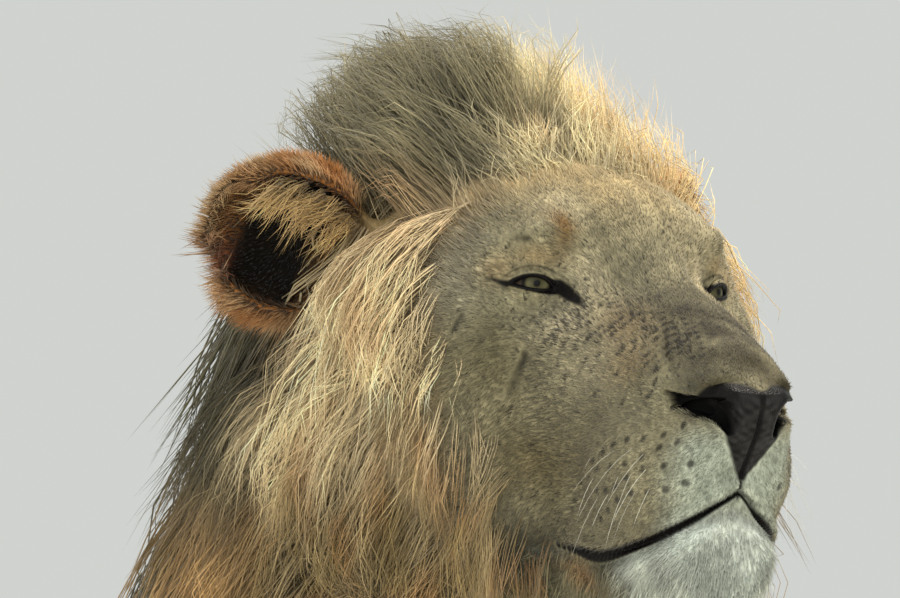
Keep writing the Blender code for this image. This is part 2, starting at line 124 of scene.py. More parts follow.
def smooth_rows(rows, steps):
    """A Catmull-Rom curve: between b and c it is (2b + (c-a)t + (2a-5b+4c-d)t² + (3b-a-3c+d)t³) / 2."""
    rows = np.asarray(rows, float)
    padded = np.vstack((2 * rows[0] - rows[1], rows, 2 * rows[-1] - rows[-2]))
    a, b, c, d = padded[:-3, None], padded[1:-2, None], padded[2:-1, None], padded[3:, None]
    t = (np.arange(steps) / steps)[None, :, None]
    curve = (2 * b + (c - a) * t + (2 * a - 5 * b + 4 * c - d) * t**2 + (3 * b - a - 3 * c + d) * t**3) / 2
    return np.vstack((curve.reshape(-1, rows.shape[1]), rows[-1]))


def closed_tube(rings):
    """Joins each ring to the next with two triangles per side, and closes both ends on a pole."""
    count, sides, _ = rings.shape
    points = np.vstack((rings.reshape(-1, 3), rings[0].mean(0), rings[-1].mean(0)))
    row, side = np.meshgrid(np.arange(count - 1), np.arange(sides), indexing="ij")
    here, beside = row * sides + side, row * sides + (side + 1) % sides
    walls = np.stack((here, beside, beside + sides, here, beside + sides, here + sides), -1).reshape(-1, 3)
    turn = np.arange(sides)
    first, last = count * sides, count * sides + 1
    start = np.stack((np.full(sides, first), (turn + 1) % sides, turn), -1)
    end_row = (count - 1) * sides
    end = np.stack((np.full(sides, last), end_row + turn, end_row + (turn + 1) % sides), -1)
    faces = np.vstack((walls, start, end))
    corners = points[faces]
    volume = np.einsum("ij,ij->i", corners[:, 0], np.cross(corners[:, 1], corners[:, 2])).sum()
    return points, faces if volume > 0 else faces[:, ::-1]


def loft(stations, depth=0.0, sides=40, steps=6):
    """An oval ring carried along a smooth path: middle + across·width·cos + front·reach·sin.

    The skin lies inside the outline by depth, the length of the coat there."""
    rows = smooth_rows(stations, steps)
    middle = rows[:, :3]
    reach = np.maximum(rows[:, 3:] - depth, 0.004)
    along = unit(np.gradient(middle, axis=0))
    across = unit(np.array([1.0, 0, 0]) - along * along[:, :1])
    front = np.cross(along, across)
    angle = np.linspace(0, 2 * np.pi, sides, endpoint=False)
    wide = reach[:, :1] * np.cos(angle)
    tall = np.where(np.sin(angle) > 0, reach[:, 1:2], reach[:, 2:3]) * np.sin(angle)
    rings = middle[:, None] + across[:, None] * wide[..., None] + front[:, None] * tall[..., None]
    return closed_tube(rings)


def egg(middle, radii, depth=0.0, turn=0.0, sides=28, rows=18):
    """A stretched ball: radii·(cos lat·cos lon, cos lat·sin lon, sin lat), turned about the upright axis."""
    lat = np.linspace(-0.48, 0.48, rows)[:, None] * np.pi
    lon = np.linspace(0, 2 * np.pi, sides, endpoint=False)[None]
    ball = np.stack((np.cos(lat) * np.cos(lon), np.cos(lat) * np.sin(lon), np.sin(lat) + 0 * lon), -1)
    ball = ball * (np.asarray(radii) - depth)
    c, s = np.cos(turn), np.sin(turn)
    return closed_tube(ball @ np.array([[c, s, 0], [-s, c, 0], [0, 0, 1]]) + np.asarray(middle))


def joined(forms):
    """Several closed forms as one list of points and one of faces."""
    sizes = np.cumsum([0] + [len(points) for points, _ in forms])
    return np.vstack([f[0] for f in forms]), np.vstack([f[1] + n for f, n in zip(forms, sizes)])


print("tools for forms ready")

# %% Tools for meshes
def new_object(name, data):
    """A new object with its data, linked to the scene."""
    thing = bpy.data.objects.new(name, data)
    bpy.context.scene.collection.objects.link(thing)
    return thing


def mesh_object(name, points, faces):
    """Puts whole arrays of points and triangles into a new mesh object at the origin."""
    mesh = bpy.data.meshes.new(name)
    mesh.vertices.add(len(points))
    mesh.vertices.foreach_set("co", np.ascontiguousarray(points, np.float32).ravel())
    mesh.loops.add(3 * len(faces))
    mesh.loops.foreach_set("vertex_index", np.ascontiguousarray(faces, np.int32).ravel())
    mesh.polygons.add(len(faces))
    mesh.polygons.foreach_set("loop_start", np.arange(0, 3 * len(faces), 3, dtype=np.int32))
    mesh.update(calc_edges=True)
    return new_object(name, mesh)


def settled(thing):
    """Bakes the modifiers of a thing into its own mesh."""
    bpy.context.view_layer.update()
    evaluated = thing.evaluated_get(bpy.context.evaluated_depsgraph_get())
    mesh = bpy.data.meshes.new_from_object(evaluated)
    thing.modifiers.clear()
    thing.data = mesh
    return thing


def fused(name, forms, voxel, rounds, depth):
    """Overlapping closed forms turned into one surface of small squares, smoothed, then drawn in by depth."""
    thing = mesh_object(name, *joined(forms))
    melt = thing.modifiers.new("melt", "REMESH")
    melt.mode = "VOXEL"
    melt.voxel_size = voxel
    ease = thing.modifiers.new("ease", "SMOOTH")
    ease.factor = 0.5
    ease.iterations = rounds
    draw_in = thing.modifiers.new("draw_in", "DISPLACE")
    draw_in.strength = -depth
    draw_in.mid_level = 0
    return settled(thing)


print("tools for meshes ready")

# %% [markdown]
# ## The body under the coat
#
# The trunk is deep in the chest and drawn up at the flank. The fore legs are straight columns on
# broad paws, and the hind legs bend at stifle and hock. The tail hangs, and ends in a tuft.
# The stations are life-size measures of a grown male, taken in by the depth of the coat.

# %% Stations of the trunk, the neck and the tail
# Each row is the middle (x, y, z), the half width, and the reach to the front and to the back.
BODY_DEPTH = 0.009
MANE_DEPTH = 0.044
TRUNK = [
    (0, 0.64, 0.93, 0.06, 0.07, 0.085), (0, 0.59, 0.925, 0.12, 0.135, 0.15),
    (0, 0.48, 0.915, 0.16, 0.18, 0.18), (0, 0.33, 0.9, 0.172, 0.19, 0.222),
    (0, 0.14, 0.88, 0.192, 0.202, 0.245), (0, -0.08, 0.87, 0.208, 0.218, 0.262),
    (0, -0.28, 0.86, 0.214, 0.258, 0.272), (0, -0.45, 0.865, 0.204, 0.275, 0.262),
    (0, -0.59, 0.88, 0.15, 0.2, 0.19), (0, -0.65, 0.89, 0.09, 0.12, 0.11),
]
NECK = [
    (0, -0.3, 0.91, 0.195, 0.2, 0.25), (0, -0.43, 0.925, 0.226, 0.215, 0.265),
    (0, -0.56, 0.99, 0.236, 0.225, 0.275), (0, -0.67, 1.085, 0.222, 0.222, 0.262),
    (0.008, -0.76, 1.185, 0.2, 0.232, 0.235), (0.018, -0.825, 1.265, 0.176, 0.222, 0.205),
    (0.03, -0.872, 1.315, 0.14, 0.18, 0.16),
]
# The tail is round, so its rows hold one radius. Its brush is grown later, around the thin end.
TAIL = [
    (0, 0.56, 0.985, 0.05), (0, 0.655, 0.96, 0.04), (0.004, 0.73, 0.88, 0.031),
    (0.012, 0.765, 0.76, 0.026), (0.022, 0.78, 0.62, 0.023), (0.032, 0.8, 0.49, 0.022),
    (0.042, 0.845, 0.38, 0.021), (0.05, 0.89, 0.31, 0.02), (0.056, 0.93, 0.24, 0.018),
]
body_forms = [loft(TRUNK), loft(NECK, MANE_DEPTH), loft([(x, y, z, r, r, r) for x, y, z, r in TAIL])]
BREAST, BREAST_RADII = (0, -0.69, 0.905), (0.165, 0.15, 0.19)
body_forms.append(egg(BREAST, BREAST_RADII, MANE_DEPTH * 0.7))
print("trunk, neck and tail laid out")

# %% The legs and paws
FORE_LEG = [
    (0.105, -0.4, 1.02, 0.06, 0.09, 0.09), (0.145, -0.45, 0.9, 0.078, 0.12, 0.12),
    (0.155, -0.44, 0.77, 0.076, 0.11, 0.118), (0.146, -0.385, 0.65, 0.066, 0.088, 0.1),
    (0.138, -0.385, 0.54, 0.06, 0.072, 0.082), (0.131, -0.4, 0.4, 0.054, 0.06, 0.066),
    (0.127, -0.415, 0.26, 0.049, 0.052, 0.056), (0.125, -0.428, 0.19, 0.048, 0.05, 0.052),
    (0.125, -0.44, 0.12, 0.046, 0.047, 0.048), (0.125, -0.45, 0.07, 0.048, 0.05, 0.052),
]
HIND_LEG = [
    (0.08, 0.5, 1.0, 0.06, 0.11, 0.08), (0.122, 0.45, 0.89, 0.08, 0.15, 0.14),
    (0.14, 0.4, 0.77, 0.078, 0.138, 0.14), (0.145, 0.355, 0.66, 0.068, 0.105, 0.118),
    (0.14, 0.375, 0.56, 0.056, 0.08, 0.088), (0.133, 0.45, 0.45, 0.046, 0.058, 0.064),
    (0.127, 0.53, 0.355, 0.038, 0.046, 0.052), (0.123, 0.552, 0.29, 0.037, 0.044, 0.046),
    (0.12, 0.54, 0.2, 0.037, 0.042, 0.042), (0.12, 0.52, 0.11, 0.039, 0.042, 0.044),
    (0.12, 0.505, 0.065, 0.042, 0.046, 0.048),
]
PAW_SIZE = (0.124, 0.165, 0.078)
HIND_PAW_SHARE = 0.92
ANKLE_BEHIND_PAW = 0.03
# Side, stations, where the foot stands, how far aside, and the share of the paw's size.
FEET = [
    (1, FORE_LEG, -0.425, 0.125, 1.0), (-1, FORE_LEG, -0.465, 0.125, 1.0),
    (1, HIND_LEG, 0.445, 0.12, HIND_PAW_SHARE), (-1, HIND_LEG, 0.5, 0.12, HIND_PAW_SHARE),
]
SWING_HEIGHT = 0.6
TOES = ((-0.36, 0.22), (-0.13, 0.34), (0.13, 0.34), (0.36, 0.22))


def leg_form(side, stations, foot_y):
    """A leg's loft, mirrored by side, with each station moved along by the share 1 - height / 0.6."""
    rows = np.array(stations)
    rows[:, 1] += (foot_y - rows[-1, 1]) * np.clip(1 - rows[:, 2] / SWING_HEIGHT, 0, 1)
    rows[:, 0] *= side
    return loft(rows)


def paw_forms(side, aside, foot_y, share):
    """A domed foot with a heel and four toes, each an egg that touches the floor."""
    wide, long, high = np.array(PAW_SIZE) * share
    foot = np.array((side * aside, foot_y, 0))
    dome = egg(foot + (0, 0, high * 0.42), (wide * 0.42, long * 0.42, high * 0.62))
    heel = egg(foot + (0, long * 0.2, high * 0.25), (wide * 0.36, long * 0.28, high * 0.42))
    toes = [
        egg(foot + (a * wide, -f * long, high * 0.3), (wide * 0.155, long * 0.21, high * 0.42))
        for a, f in TOES
    ]
    return [dome, heel, *toes]


for side, stations, foot_y, aside, share in FEET:
    ankle = ANKLE_BEHIND_PAW if stations is HIND_LEG else 0.0
    body_forms.append(leg_form(side, stations, foot_y + ankle))
    body_forms += paw_forms(side, aside, foot_y, share)
print("forms of the body so far:", len(body_forms))

# %% The crest, the ruff and the fused body
CREST_DEPTH = 0.042
CREST = [
    (0.03, 0.41, -0.11, 0.11, 0.12, 0.1), (0, 0.31, -0.005, 0.126, 0.134, 0.1),
    (-0.03, 0.23, 0.042, 0.116, 0.134, 0.08), (-0.02, 0.16, 0.058, 0.094, 0.124, 0.07),
    (0, 0.1, 0.05, 0.072, 0.102, 0.06),
]
RUFF_ASIDE, RUFF_BACK, RUFF_UP = 0.088, 0.165, -0.105
RUFF_RADII, RUFF_DEPTH = (0.07, 0.078, 0.112), 0.03
BODY_SQUARE = 0.013
crest_points, crest_faces = loft(CREST, CREST_DEPTH)
body_forms = [(points + BODY_SHIFT, faces) for points, faces in body_forms]
body_forms.append((to_world(crest_points), crest_faces))
for side in (1, -1):
    ruff_points, ruff_faces = egg((side * RUFF_ASIDE, RUFF_BACK, RUFF_UP), RUFF_RADII, RUFF_DEPTH)
    body_forms.append((to_world(ruff_points), ruff_faces))
body_form = fused("body_form", body_forms, BODY_SQUARE, rounds=4, depth=BODY_DEPTH)
print("body form:", len(body_form.data.polygons), "squares")

# %% [markdown]
# ## The head
#
# A lion's head is long and flat on top, with a broad bridge, a square muzzle and heavy cheeks. The
# skull and muzzle are one loft, the lower jaw another, and eggs add cheeks, brow and whisker pads.
# The nose pad is a short loft down the front of the muzzle. The ears are deep rounded cups.

# %% Stations of the skull, the jaw and the nose pad
FACE_DEPTH = 0.003
SKULL = [
    (0, 0.25, 0, 0.07, 0.07, 0.085), (0, 0.19, 0, 0.1, 0.088, 0.115),
    (0, 0.12, -0.005, 0.116, 0.093, 0.13),
    (0, 0.06, -0.02, 0.106, 0.1, 0.14), (0, 0.025, -0.035, 0.09, 0.098, 0.14),
    (0, -0.005, -0.048, 0.076, 0.083, 0.13), (0, -0.035, -0.06, 0.065, 0.07, 0.12),
    (0, -0.07, -0.072, 0.056, 0.061, 0.105), (0, -0.105, -0.085, 0.049, 0.056, 0.085),
    (0, -0.135, -0.096, 0.041, 0.054, 0.062), (0, -0.152, -0.099, 0.034, 0.048, 0.044),
]
JAW = [
    (0, 0.1, -0.13, 0.075, 0.05, 0.06), (0, 0.02, -0.14, 0.066, 0.05, 0.052),
    (0, -0.04, -0.15, 0.056, 0.04, 0.046), (0, -0.09, -0.16, 0.05, 0.038, 0.044),
    (0, -0.122, -0.168, 0.039, 0.032, 0.04), (0, -0.134, -0.17, 0.028, 0.024, 0.03),
]
NOSE_PAD = [
    (0, -0.138, -0.07, 0.026, 0.022, 0.02), (0, -0.142, -0.08, 0.036, 0.028, 0.03),
    (0, -0.141, -0.09, 0.036, 0.029, 0.03), (0, -0.138, -0.102, 0.029, 0.027, 0.03),
    (0, -0.134, -0.114, 0.019, 0.022, 0.03), (0, -0.13, -0.128, 0.009, 0.016, 0.02),
]
# Cheek, brow, bridge, jowl and whisker pad: the middle, the three radii and a turn in radians.
LUMPS = [
    (0.07, 0.08, -0.058, 0.053, 0.083, 0.092, 0), (0.04, 0.01, 0.022, 0.035, 0.034, 0.026, 0),
    (0.019, -0.12, -0.077, 0.02, 0.05, 0.026, 0), (0.056, 0.045, -0.124, 0.043, 0.075, 0.058, 0),
    (0.031, -0.088, -0.114, 0.031, 0.058, 0.046, 0.25),
]
head_forms = [loft(SKULL), loft(JAW), loft(NOSE_PAD)]
for side in (1, -1):
    for x, y, z, a, b, c, turn in LUMPS:
        head_forms.append(egg((side * x, y, z), (a, b, c), 0.0, -side * turn))
THROAT, THROAT_RADII, THROAT_DEPTH = (0, 0.09, -0.165), (0.085, 0.11, 0.07), 0.012
CHIN_PLACE, CHIN_RADII, CHIN_DEPTH = (0, -0.075, -0.185), (0.034, 0.05, 0.03), 0.006
head_forms.append(egg(THROAT, THROAT_RADII, THROAT_DEPTH))
head_forms.append(egg(CHIN_PLACE, CHIN_RADII, CHIN_DEPTH))
print("head forms:", len(head_forms))

# %% The ears
EAR_ROOT = (0.094, 0.185, 0.025)
EAR_AXIS = {1: (0.7, 0.48, 0.42), -1: (0.92, 0.12, 0.36)}
EAR_OPENING = (0.25, -0.86, -0.44)
EAR_HALF_WIDTH, EAR_HALF_DEPTH = 0.053, 0.033
EAR_WALL = 0.011
EAR_SWEEP = 120
EAR_FOOT, EAR_TIP_UP = -0.016, 0.101
EAR_MIDDLE, EAR_REACH = 0.047, 0.0545
EAR_TEAR = (-0.03, 0.0, 0.08)
TEAR_HALF_HEIGHT, TEAR_ARC, TEAR_HALF_ARC = 0.0075, 1.55, 0.6
HEAD_SQUARE = 0.0048


def ear_place(side):
    """The ear's three directions as columns: across, back and axis, the axis from root to tip."""
    axis = unit(np.array(EAR_AXIS[side]) * (side, 1, 1))
    opening = np.array(EAR_OPENING) * (side, 1, 1)
    back = -unit(opening - opening.dot(axis) * axis)
    return np.stack((np.cross(back, axis), back, axis), 1), np.array(EAR_ROOT) * (side, 1, 1)


def ear_outline(up, least):
    """The ear's share of its full width: the square root of 1 - ((height - middle) / reach)², or of least."""
    return np.sqrt(np.clip(1 - ((up - EAR_MIDDLE) / EAR_REACH) ** 2, least, 1))


def ear_form(side):
    """A stack of C-shaped rings: out along (W sin a, D cos a) and back along the same arc less the wall.

    W and D follow the ear's outline, kept wide at the root. The right ear's lower edge has an old
    tear: there the outline is drawn in by up to a third, exp(-(height / h)² - (arc / w)²)."""
    up = np.linspace(EAR_FOOT, EAR_TIP_UP, 26)[:, None]
    share = ear_outline(up, 0.02)
    share = np.where(up < 0.02, np.maximum(share, 0.62), share)
    arc = np.radians(np.linspace(-EAR_SWEEP, EAR_SWEEP, 34))[None]
    if side < 0:
        torn = np.exp(-((up - EAR_TEAR[2]) / TEAR_HALF_HEIGHT) ** 2 - ((arc + TEAR_ARC) / TEAR_HALF_ARC) ** 2)
        share = share * (1 - 0.34 * torn)
    wide, deep = share * EAR_HALF_WIDTH, share * EAR_HALF_DEPTH
    inner_wide = np.maximum(wide - EAR_WALL, wide * 0.3)
    inner_deep = np.maximum(deep - EAR_WALL, deep * 0.2)
    x = np.hstack((wide * np.sin(arc), inner_wide * np.sin(arc[:, ::-1])))
    y = np.hstack((deep * np.cos(arc), inner_deep * np.cos(arc[:, ::-1])))
    turn, root = ear_place(side)
    points = np.stack((x, y, up + 0 * x), -1)
    return closed_tube(points @ turn.T + root)


head_forms += [ear_form(1), ear_form(-1)]
head_forms = [(to_world(points), faces) for points, faces in head_forms]
head_form = fused("head_form", head_forms, HEAD_SQUARE, rounds=9, depth=FACE_DEPTH)
print("head form:", len(head_form.data.polygons), "squares")

# %% [markdown]
# ## One skin
#
# The head and the body are joined into one closed surface, so no seam can show. The join lies
# under the mane. Where the face needs detail the squares are split again: once over the face,
# twice round the eyes, the nose and the lips, and three times at their edges.

# %% Joining head and body
join = body_form.modifiers.new("join", "BOOLEAN")
join.operation = "UNION"
join.solver = "MANIFOLD"
join.object = head_form
skin = settled(body_form)
skin.name = skin.data.name = "lion_skin"
bpy.data.objects.remove(head_form)
print("skin before the face is cut:", len(skin.data.polygons), "faces")

# %% The landmarks of the face
EYE_RADIUS = 0.019
EYE_ASIDE = 0.0535
EYE_OUTWARD = np.radians(28)
LID_CORNERS = np.array(((-0.0215, -0.0065), (0.019, 0.0008)))
LID_RISE, LID_DROP = 0.0082, 0.0022
LID_THICKNESS, BEHIND_BALL = 0.0024, 0.0016
MOUTH_LINE = smooth_rows([
    (0, -0.148, -0.135), (0.01, -0.14, -0.142), (0.024, -0.123, -0.152), (0.043, -0.103, -0.164),
    (0.051, -0.06, -0.169), (0.056, -0.015, -0.16),
], 10)
NOSTRIL = smooth_rows([
    (0.015, -0.1, 0.0022), (0.017, -0.0955, 0.0042), (0.0205, -0.0908, 0.0056),
    (0.026, -0.0878, 0.0058),
    (0.031, -0.0862, 0.005), (0.035, -0.085, 0.0038),
], 8)
WING_SLIT = smooth_rows([
    (-0.163, -0.0875, 0.0058), (-0.153, -0.0868, 0.0058), (-0.144, -0.0848, 0.0056),
    (-0.136, -0.0818, 0.0048), (-0.129, -0.0782, 0.003), (-0.1225, -0.0745, 0.0008),
], 8)
FAR_CREASE = smooth_rows([
    (0.023, -0.03, 0.03), (0.0265, -0.033, 0.017), (0.0335, -0.033, 0.002),
], 8)
MUZZLE_AXIS, MUZZLE_REACH = 0.02, 0.1
FACE_BACK, FACE_HALF_WIDTH, FACE_FOOT, FACE_TOP = 0.09, 0.13, -0.22, 0.12


def mirrored(points):
    """Points folded onto the left side, |x| for x, because both sides of the animal are alike."""
    return np.abs(points[..., :1]) * (1, 0, 0) + points * (0, 1, 1)


def on_face(head):
    """True for head-frame places in front of the cheeks' rear and above the throat."""
    return (head[:, 1] < FACE_BACK) & (np.abs(head[:, 0]) < FACE_HALF_WIDTH) & (head[:, 2] > FACE_FOOT)


def eye_axes():
    """The left eye's middle, and its outward, upward and forward directions."""
    c, s = np.cos(EYE_OUTWARD), np.sin(EYE_OUTWARD)
    return np.array(((EYE_ASIDE, EYE_BACK, 0), (c, s, 0), (0, 0, 1.0), (s, -c, 0)))


def eye_place(points):
    """(outward, upward, forward) of folded points from the middle of the eye."""
    middle, aside, upward, forward = eye_axes()
    return (points - middle) @ np.stack((aside, upward, forward), 1)


def lid_lines(outward):
    """Heights of the upper and lower lid: the line between the corners plus an arch, sin(πt)."""
    (inner, low), (outer, high) = LID_CORNERS
    t = np.clip((outward - inner) / (outer - inner), 0, 1)
    line = low + (high - low) * t
    arch = np.sin(np.pi * t) ** 0.85
    return line + LID_RISE * arch, line - LID_DROP * arch, t


def far_from_line(points, line, radii=0.0):
    """The distance of each point to the nearest point of a line, less that point's radius, and its index."""
    apart = np.linalg.norm(points[:, None] - line[None], axis=2) - radii
    return apart.min(1), apart.argmin(1)


def from_stroke(flat, stroke):
    """The distance of flat places to a stroke: a line whose third number is its half width."""
    return far_from_line(flat, stroke[:, :2], stroke[:, 2])[0]


def around_muzzle(points):
    """Wraps the muzzle flat: the angle about an upright axis behind it, as a length, and the height."""
    turn = np.arctan2(points[..., 0], MUZZLE_AXIS - points[..., 1])
    return np.stack((turn * MUZZLE_REACH, points[..., 2]), -1)


MOUTH_FLAT = around_muzzle(MOUTH_LINE)
MOUTH_STEPS = (0, 12, 30, 44, 50)
MOUTH_HALF_GAPS = (0.0007, 0.001, 0.0022, 0.003, 0.0014)
MOUTH_HALF = np.interp(np.arange(len(MOUTH_LINE)), MOUTH_STEPS, MOUTH_HALF_GAPS)
print("points along half the mouth:", len(MOUTH_LINE))

# %% Finer squares where the face needs them
def detail(points):
    """How often the skin is split at head-frame points: 0 on the body, 1 on the face, 3 at lids and lips."""
    p = mirrored(points)
    near_head = (p[:, 1] < 0.085) & (p[:, 0] < 0.125) & (p[:, 2] > -0.215) & (p[:, 2] < 0.125)
    near_head &= p[:, 1] + 0.35 * p[:, 0] < 0.105
    level = near_head.astype(int)
    index = np.flatnonzero(near_head)
    q = p[index]
    out, rise, front = eye_place(q).T
    eye_far = np.where(front > -0.004, np.hypot(out * 0.85, rise), 1)
    lip_far = far_from_line(around_muzzle(q), MOUTH_FLAT[::2])[0] + 1.0 * (q[:, 1] > 0.0)
    nose = (q[:, 1] < -0.118) & (q[:, 2] > -0.134) & (q[:, 2] < -0.07)
    level[index] += (eye_far < 0.032) | nose | (lip_far < 0.013)
    nostril_far = from_stroke(q[:, ::2], NOSTRIL)
    fine_nose = nose & ((nostril_far < 0.004) | (q[:, 0] < 0.004))
    level[index] += (eye_far < 0.0215) | fine_nose | (lip_far < 0.0055)
    return level


def split(form, level):
    """Halves every edge of the faces whose detail is at least level, then eases the new points."""
    work = bmesh.new()
    work.from_mesh(form.data)
    work.verts.ensure_lookup_table()
    places = np.array([v.co for v in work.verts])
    wanted = detail(to_head(places)) >= level
    edges = [e for e in work.edges if wanted[e.verts[0].index] and wanted[e.verts[1].index]]
    bmesh.ops.subdivide_edges(work, edges=edges, cuts=1, use_grid_fill=True)
    work.verts.ensure_lookup_table()
    touched = detail(to_head(np.array([v.co for v in work.verts]))) >= level
    soft = [v for v, near in zip(work.verts, touched) if near]
    for _ in range(4):
        bmesh.ops.smooth_vert(work, verts=soft, factor=0.5, use_axis_x=True, use_axis_y=True, use_axis_z=True)
    work.to_mesh(form.data)
    work.free()


for level in (1, 2, 3):
    split(skin, level)
print("skin cut for the face:", len(skin.data.polygons), "faces")

# %% [markdown]
# ## Carving the face
#
# On the real animal the lids wrap the eyeball like a thick rubber rim, the nose pad is bare
# leather with a comma-shaped nostril on each side, and the upper lips hang over a closed mouth.
# Each is a rule that moves points: toward a ball, toward a front, or down into a groove. The
# rules read each point's place in the folded head frame, so they are the same on both sides, apart
# from one crease above the left eye.

# %% Places, normals and the lids
def places_of(thing):
    """All points of a mesh as one array."""
    places = np.empty(3 * len(thing.data.vertices), np.float32)
    thing.data.vertices.foreach_get("co", places)
    return places.reshape(-1, 3).astype(float)


def normals_of(thing):
    """The outward direction at every point."""
    normals = np.empty(3 * len(thing.data.vertices), np.float32)
    thing.data.vertex_normals.foreach_get("vector", normals)
    return normals.reshape(-1, 3).astype(float)


def put_places(thing, places):
    """Moves all points of a mesh at once."""
    thing.data.vertices.foreach_set("co", places.astype(np.float32).ravel())
    thing.data.update()


def bump(distance, width):
    """1 at nothing, fading as exp(-(d / width)²)."""
    return np.exp(-(distance / width) ** 2)


def spot(p, place, radii):
    """1 in the middle of a soft oval patch, exp(-(distance / radii)²)."""
    return np.exp(-(((p - np.array(place)) / np.array(radii)) ** 2).sum(1))


def shape_lids(p):
    """Draws points near the eye onto a ball just over the eyeball, and those between the lids behind it."""
    out, rise, front = eye_place(p).T
    radius = np.linalg.norm((out, rise, front), axis=0)
    upper, lower, t = lid_lines(out)
    reach = np.hypot((out + 0.001) / 1.25, rise)
    hold = fade(0.036, 0.0185, reach) * fade(-0.004, 0.004, front)
    lid = EYE_RADIUS + LID_THICKNESS + 0.0007 * bump(rise - upper - 0.0016, 0.0013)
    lid += 0.0005 * bump(rise - lower + 0.0015, 0.0012)
    lid -= 0.0016 * bump(rise - upper - 0.0062, 0.0011) * fade(-0.1, 0.2, t)
    lid -= 0.001 * bump(rise - lower + 0.0052, 0.0012)
    inside = np.minimum(upper - rise, rise - lower)
    inside = np.where((t <= 0) | (t >= 1), -1, inside)
    sunk = fade(-0.0002, 0.0008, inside) * (front > 0)
    target = radius + (lid - radius) * hold
    target = target + (EYE_RADIUS - BEHIND_BALL - target) * sunk
    middle = eye_axes()[0]
    return middle + (p - middle) * (target / np.maximum(radius, 1e-6))[:, None]


print("radius of the lids:", round(EYE_RADIUS + LID_THICKNESS, 4), "metres")

# %% The nose
PAD_HEIGHTS = (-0.13, -0.124, -0.115, -0.105, -0.098, -0.091, -0.085, -0.079, -0.074, -0.0705)
PAD_HALF_WIDTH = (0.0014, 0.004, 0.0102, 0.0168, 0.02, 0.025, 0.0305, 0.033, 0.028, 0.018)
PAD_FRONT = (0.1435, 0.146, 0.1535, 0.1625, 0.1675, 0.1705, 0.1725, 0.1725, 0.169, 0.164)
PAD_TOP, PAD_DIP = -0.0712, 0.005
NOSE_REAR = -0.112


def pad_mask(p):
    """1 on the nose pad, falling to 0 over 3 mm at its outline, whose top dips in the middle."""
    x, y, z = p.T
    half = np.interp(z, PAD_HEIGHTS, PAD_HALF_WIDTH)
    top = PAD_TOP - PAD_DIP * bump(x, 0.008)
    mask = fade(half + 0.0015, half - 0.0015, x) * fade(-0.131, -0.127, z)
    return mask * fade(top + 0.0015, top - 0.0015, z) * (y < NOSE_REAR)


def slit_share(p):
    """1 inside the wedge that runs back from the nostril over the side of the muzzle, 0 outside it."""
    away = from_stroke(p[:, 1:], WING_SLIT)
    return fade(0.0008, -0.0012, away) * fade(0.02, 0.025, p[:, 0]) * (p[:, 1] < -0.118)


def nostril_share(p):
    """1 well inside the nostril, falling to 0 at its edge."""
    hole = from_stroke(p[:, ::2], NOSTRIL)
    return fade(0.0008, -0.0012, hole) * (p[:, 1] < NOSE_REAR)


def hole_shade_share(p):
    """1 wherever the nose is painted as a dark hole, the shade inside it: in the nostril, in the slit and on
    the fold between them.
    """
    fold = spot(p, (0.029, -0.15, -0.087), (0.01, 0.017, 0.0075))
    return np.clip(np.maximum(nostril_share(p), slit_share(p)) + 1.3 * fold, 0, 1) * (p[:, 1] < NOSE_REAR)


def shape_nose(p):
    """Pulls the pad's front to its profile less 22·aside², swells its wings and sinks nostrils and groove."""
    x, y, z = p.T
    half = np.interp(z, PAD_HEIGHTS, PAD_HALF_WIDTH)
    near = fade(half + 0.008, half - 0.0005, x) * fade(-0.144, -0.133, z)
    near = near * fade(-0.065, -0.074, z) * (y < NOSE_REAR)
    front = -np.interp(z, PAD_HEIGHTS, PAD_FRONT) + 22.0 * x ** 2
    moved = p.copy()
    moved[:, 1] += (front - y) * near
    wing = bump(np.hypot((x - 0.019) / 1.3, z + 0.078), 0.006) * (y < NOSE_REAR)
    moved[:, 1] -= 0.0022 * wing
    moved[:, 2] += 0.0012 * wing
    hole = from_stroke(p[:, ::2], NOSTRIL)
    open_part = fade(0.0012, -0.002, hole) * (y < -0.122)
    rim = bump(hole - 0.0022, 0.0014) * (y < -0.132)
    moved[:, 1] += 0.012 * open_part - 0.001 * rim
    moved[:, 2] += 0.003 * open_part
    moved[:, 0] -= 0.007 * slit_share(p)
    middle = bump(x, 0.0013) * fade(-0.084, -0.096, z) * fade(-0.15, -0.136, z)
    moved[:, 1] += 0.0022 * middle * (y < NOSE_REAR)
    return moved


print("the nose pad is", 2 * max(PAD_HALF_WIDTH), "metres wide")

# %% Brow and lips
def shape_brow(p, normals, far_side):
    """Hollows the face before the inner eye corner, and folds a crease above it on the far side."""
    hollow = spot(p, (0.031, -0.036, 0.0), (0.014, 0.028, 0.019))
    push = -(0.0115 + 0.006 * far_side) * hollow
    crease = far_from_line(p, FAR_CREASE)[0]
    push -= 0.0026 * bump(crease, 0.002) * far_side
    brow = spot(p, (0.058, 0.004, 0.03), (0.022, 0.02, 0.008))
    return p + normals * (push + 0.0022 * brow)[:, None]


def shape_lips(p, normals):
    """Sinks a groove along the mouth, swells the upper lip above it and draws the lower lip in."""
    moved = p.copy()
    index = np.flatnonzero((p[:, 1] < 0.01) & (p[:, 2] < -0.12) & (p[:, 2] > -0.2) & (p[:, 0] < 0.08))
    q = p[index]
    away, at = far_from_line(around_muzzle(q), MOUTH_FLAT)
    above = q[:, 2] - MOUTH_LINE[at, 2]
    end = fade(0, 6, len(MOUTH_LINE) - 1 - at)
    push = -0.0052 * bump(away, 0.001 + 0.5 * MOUTH_HALF[at])
    push += 0.0024 * bump(away - 0.0052, 0.0034) * fade(0, 0.003, above)
    push -= 0.0022 * bump(away - 0.004, 0.0036) * fade(0, -0.003, above)
    moved[index] += normals[index] * (push * end)[:, None]
    return moved


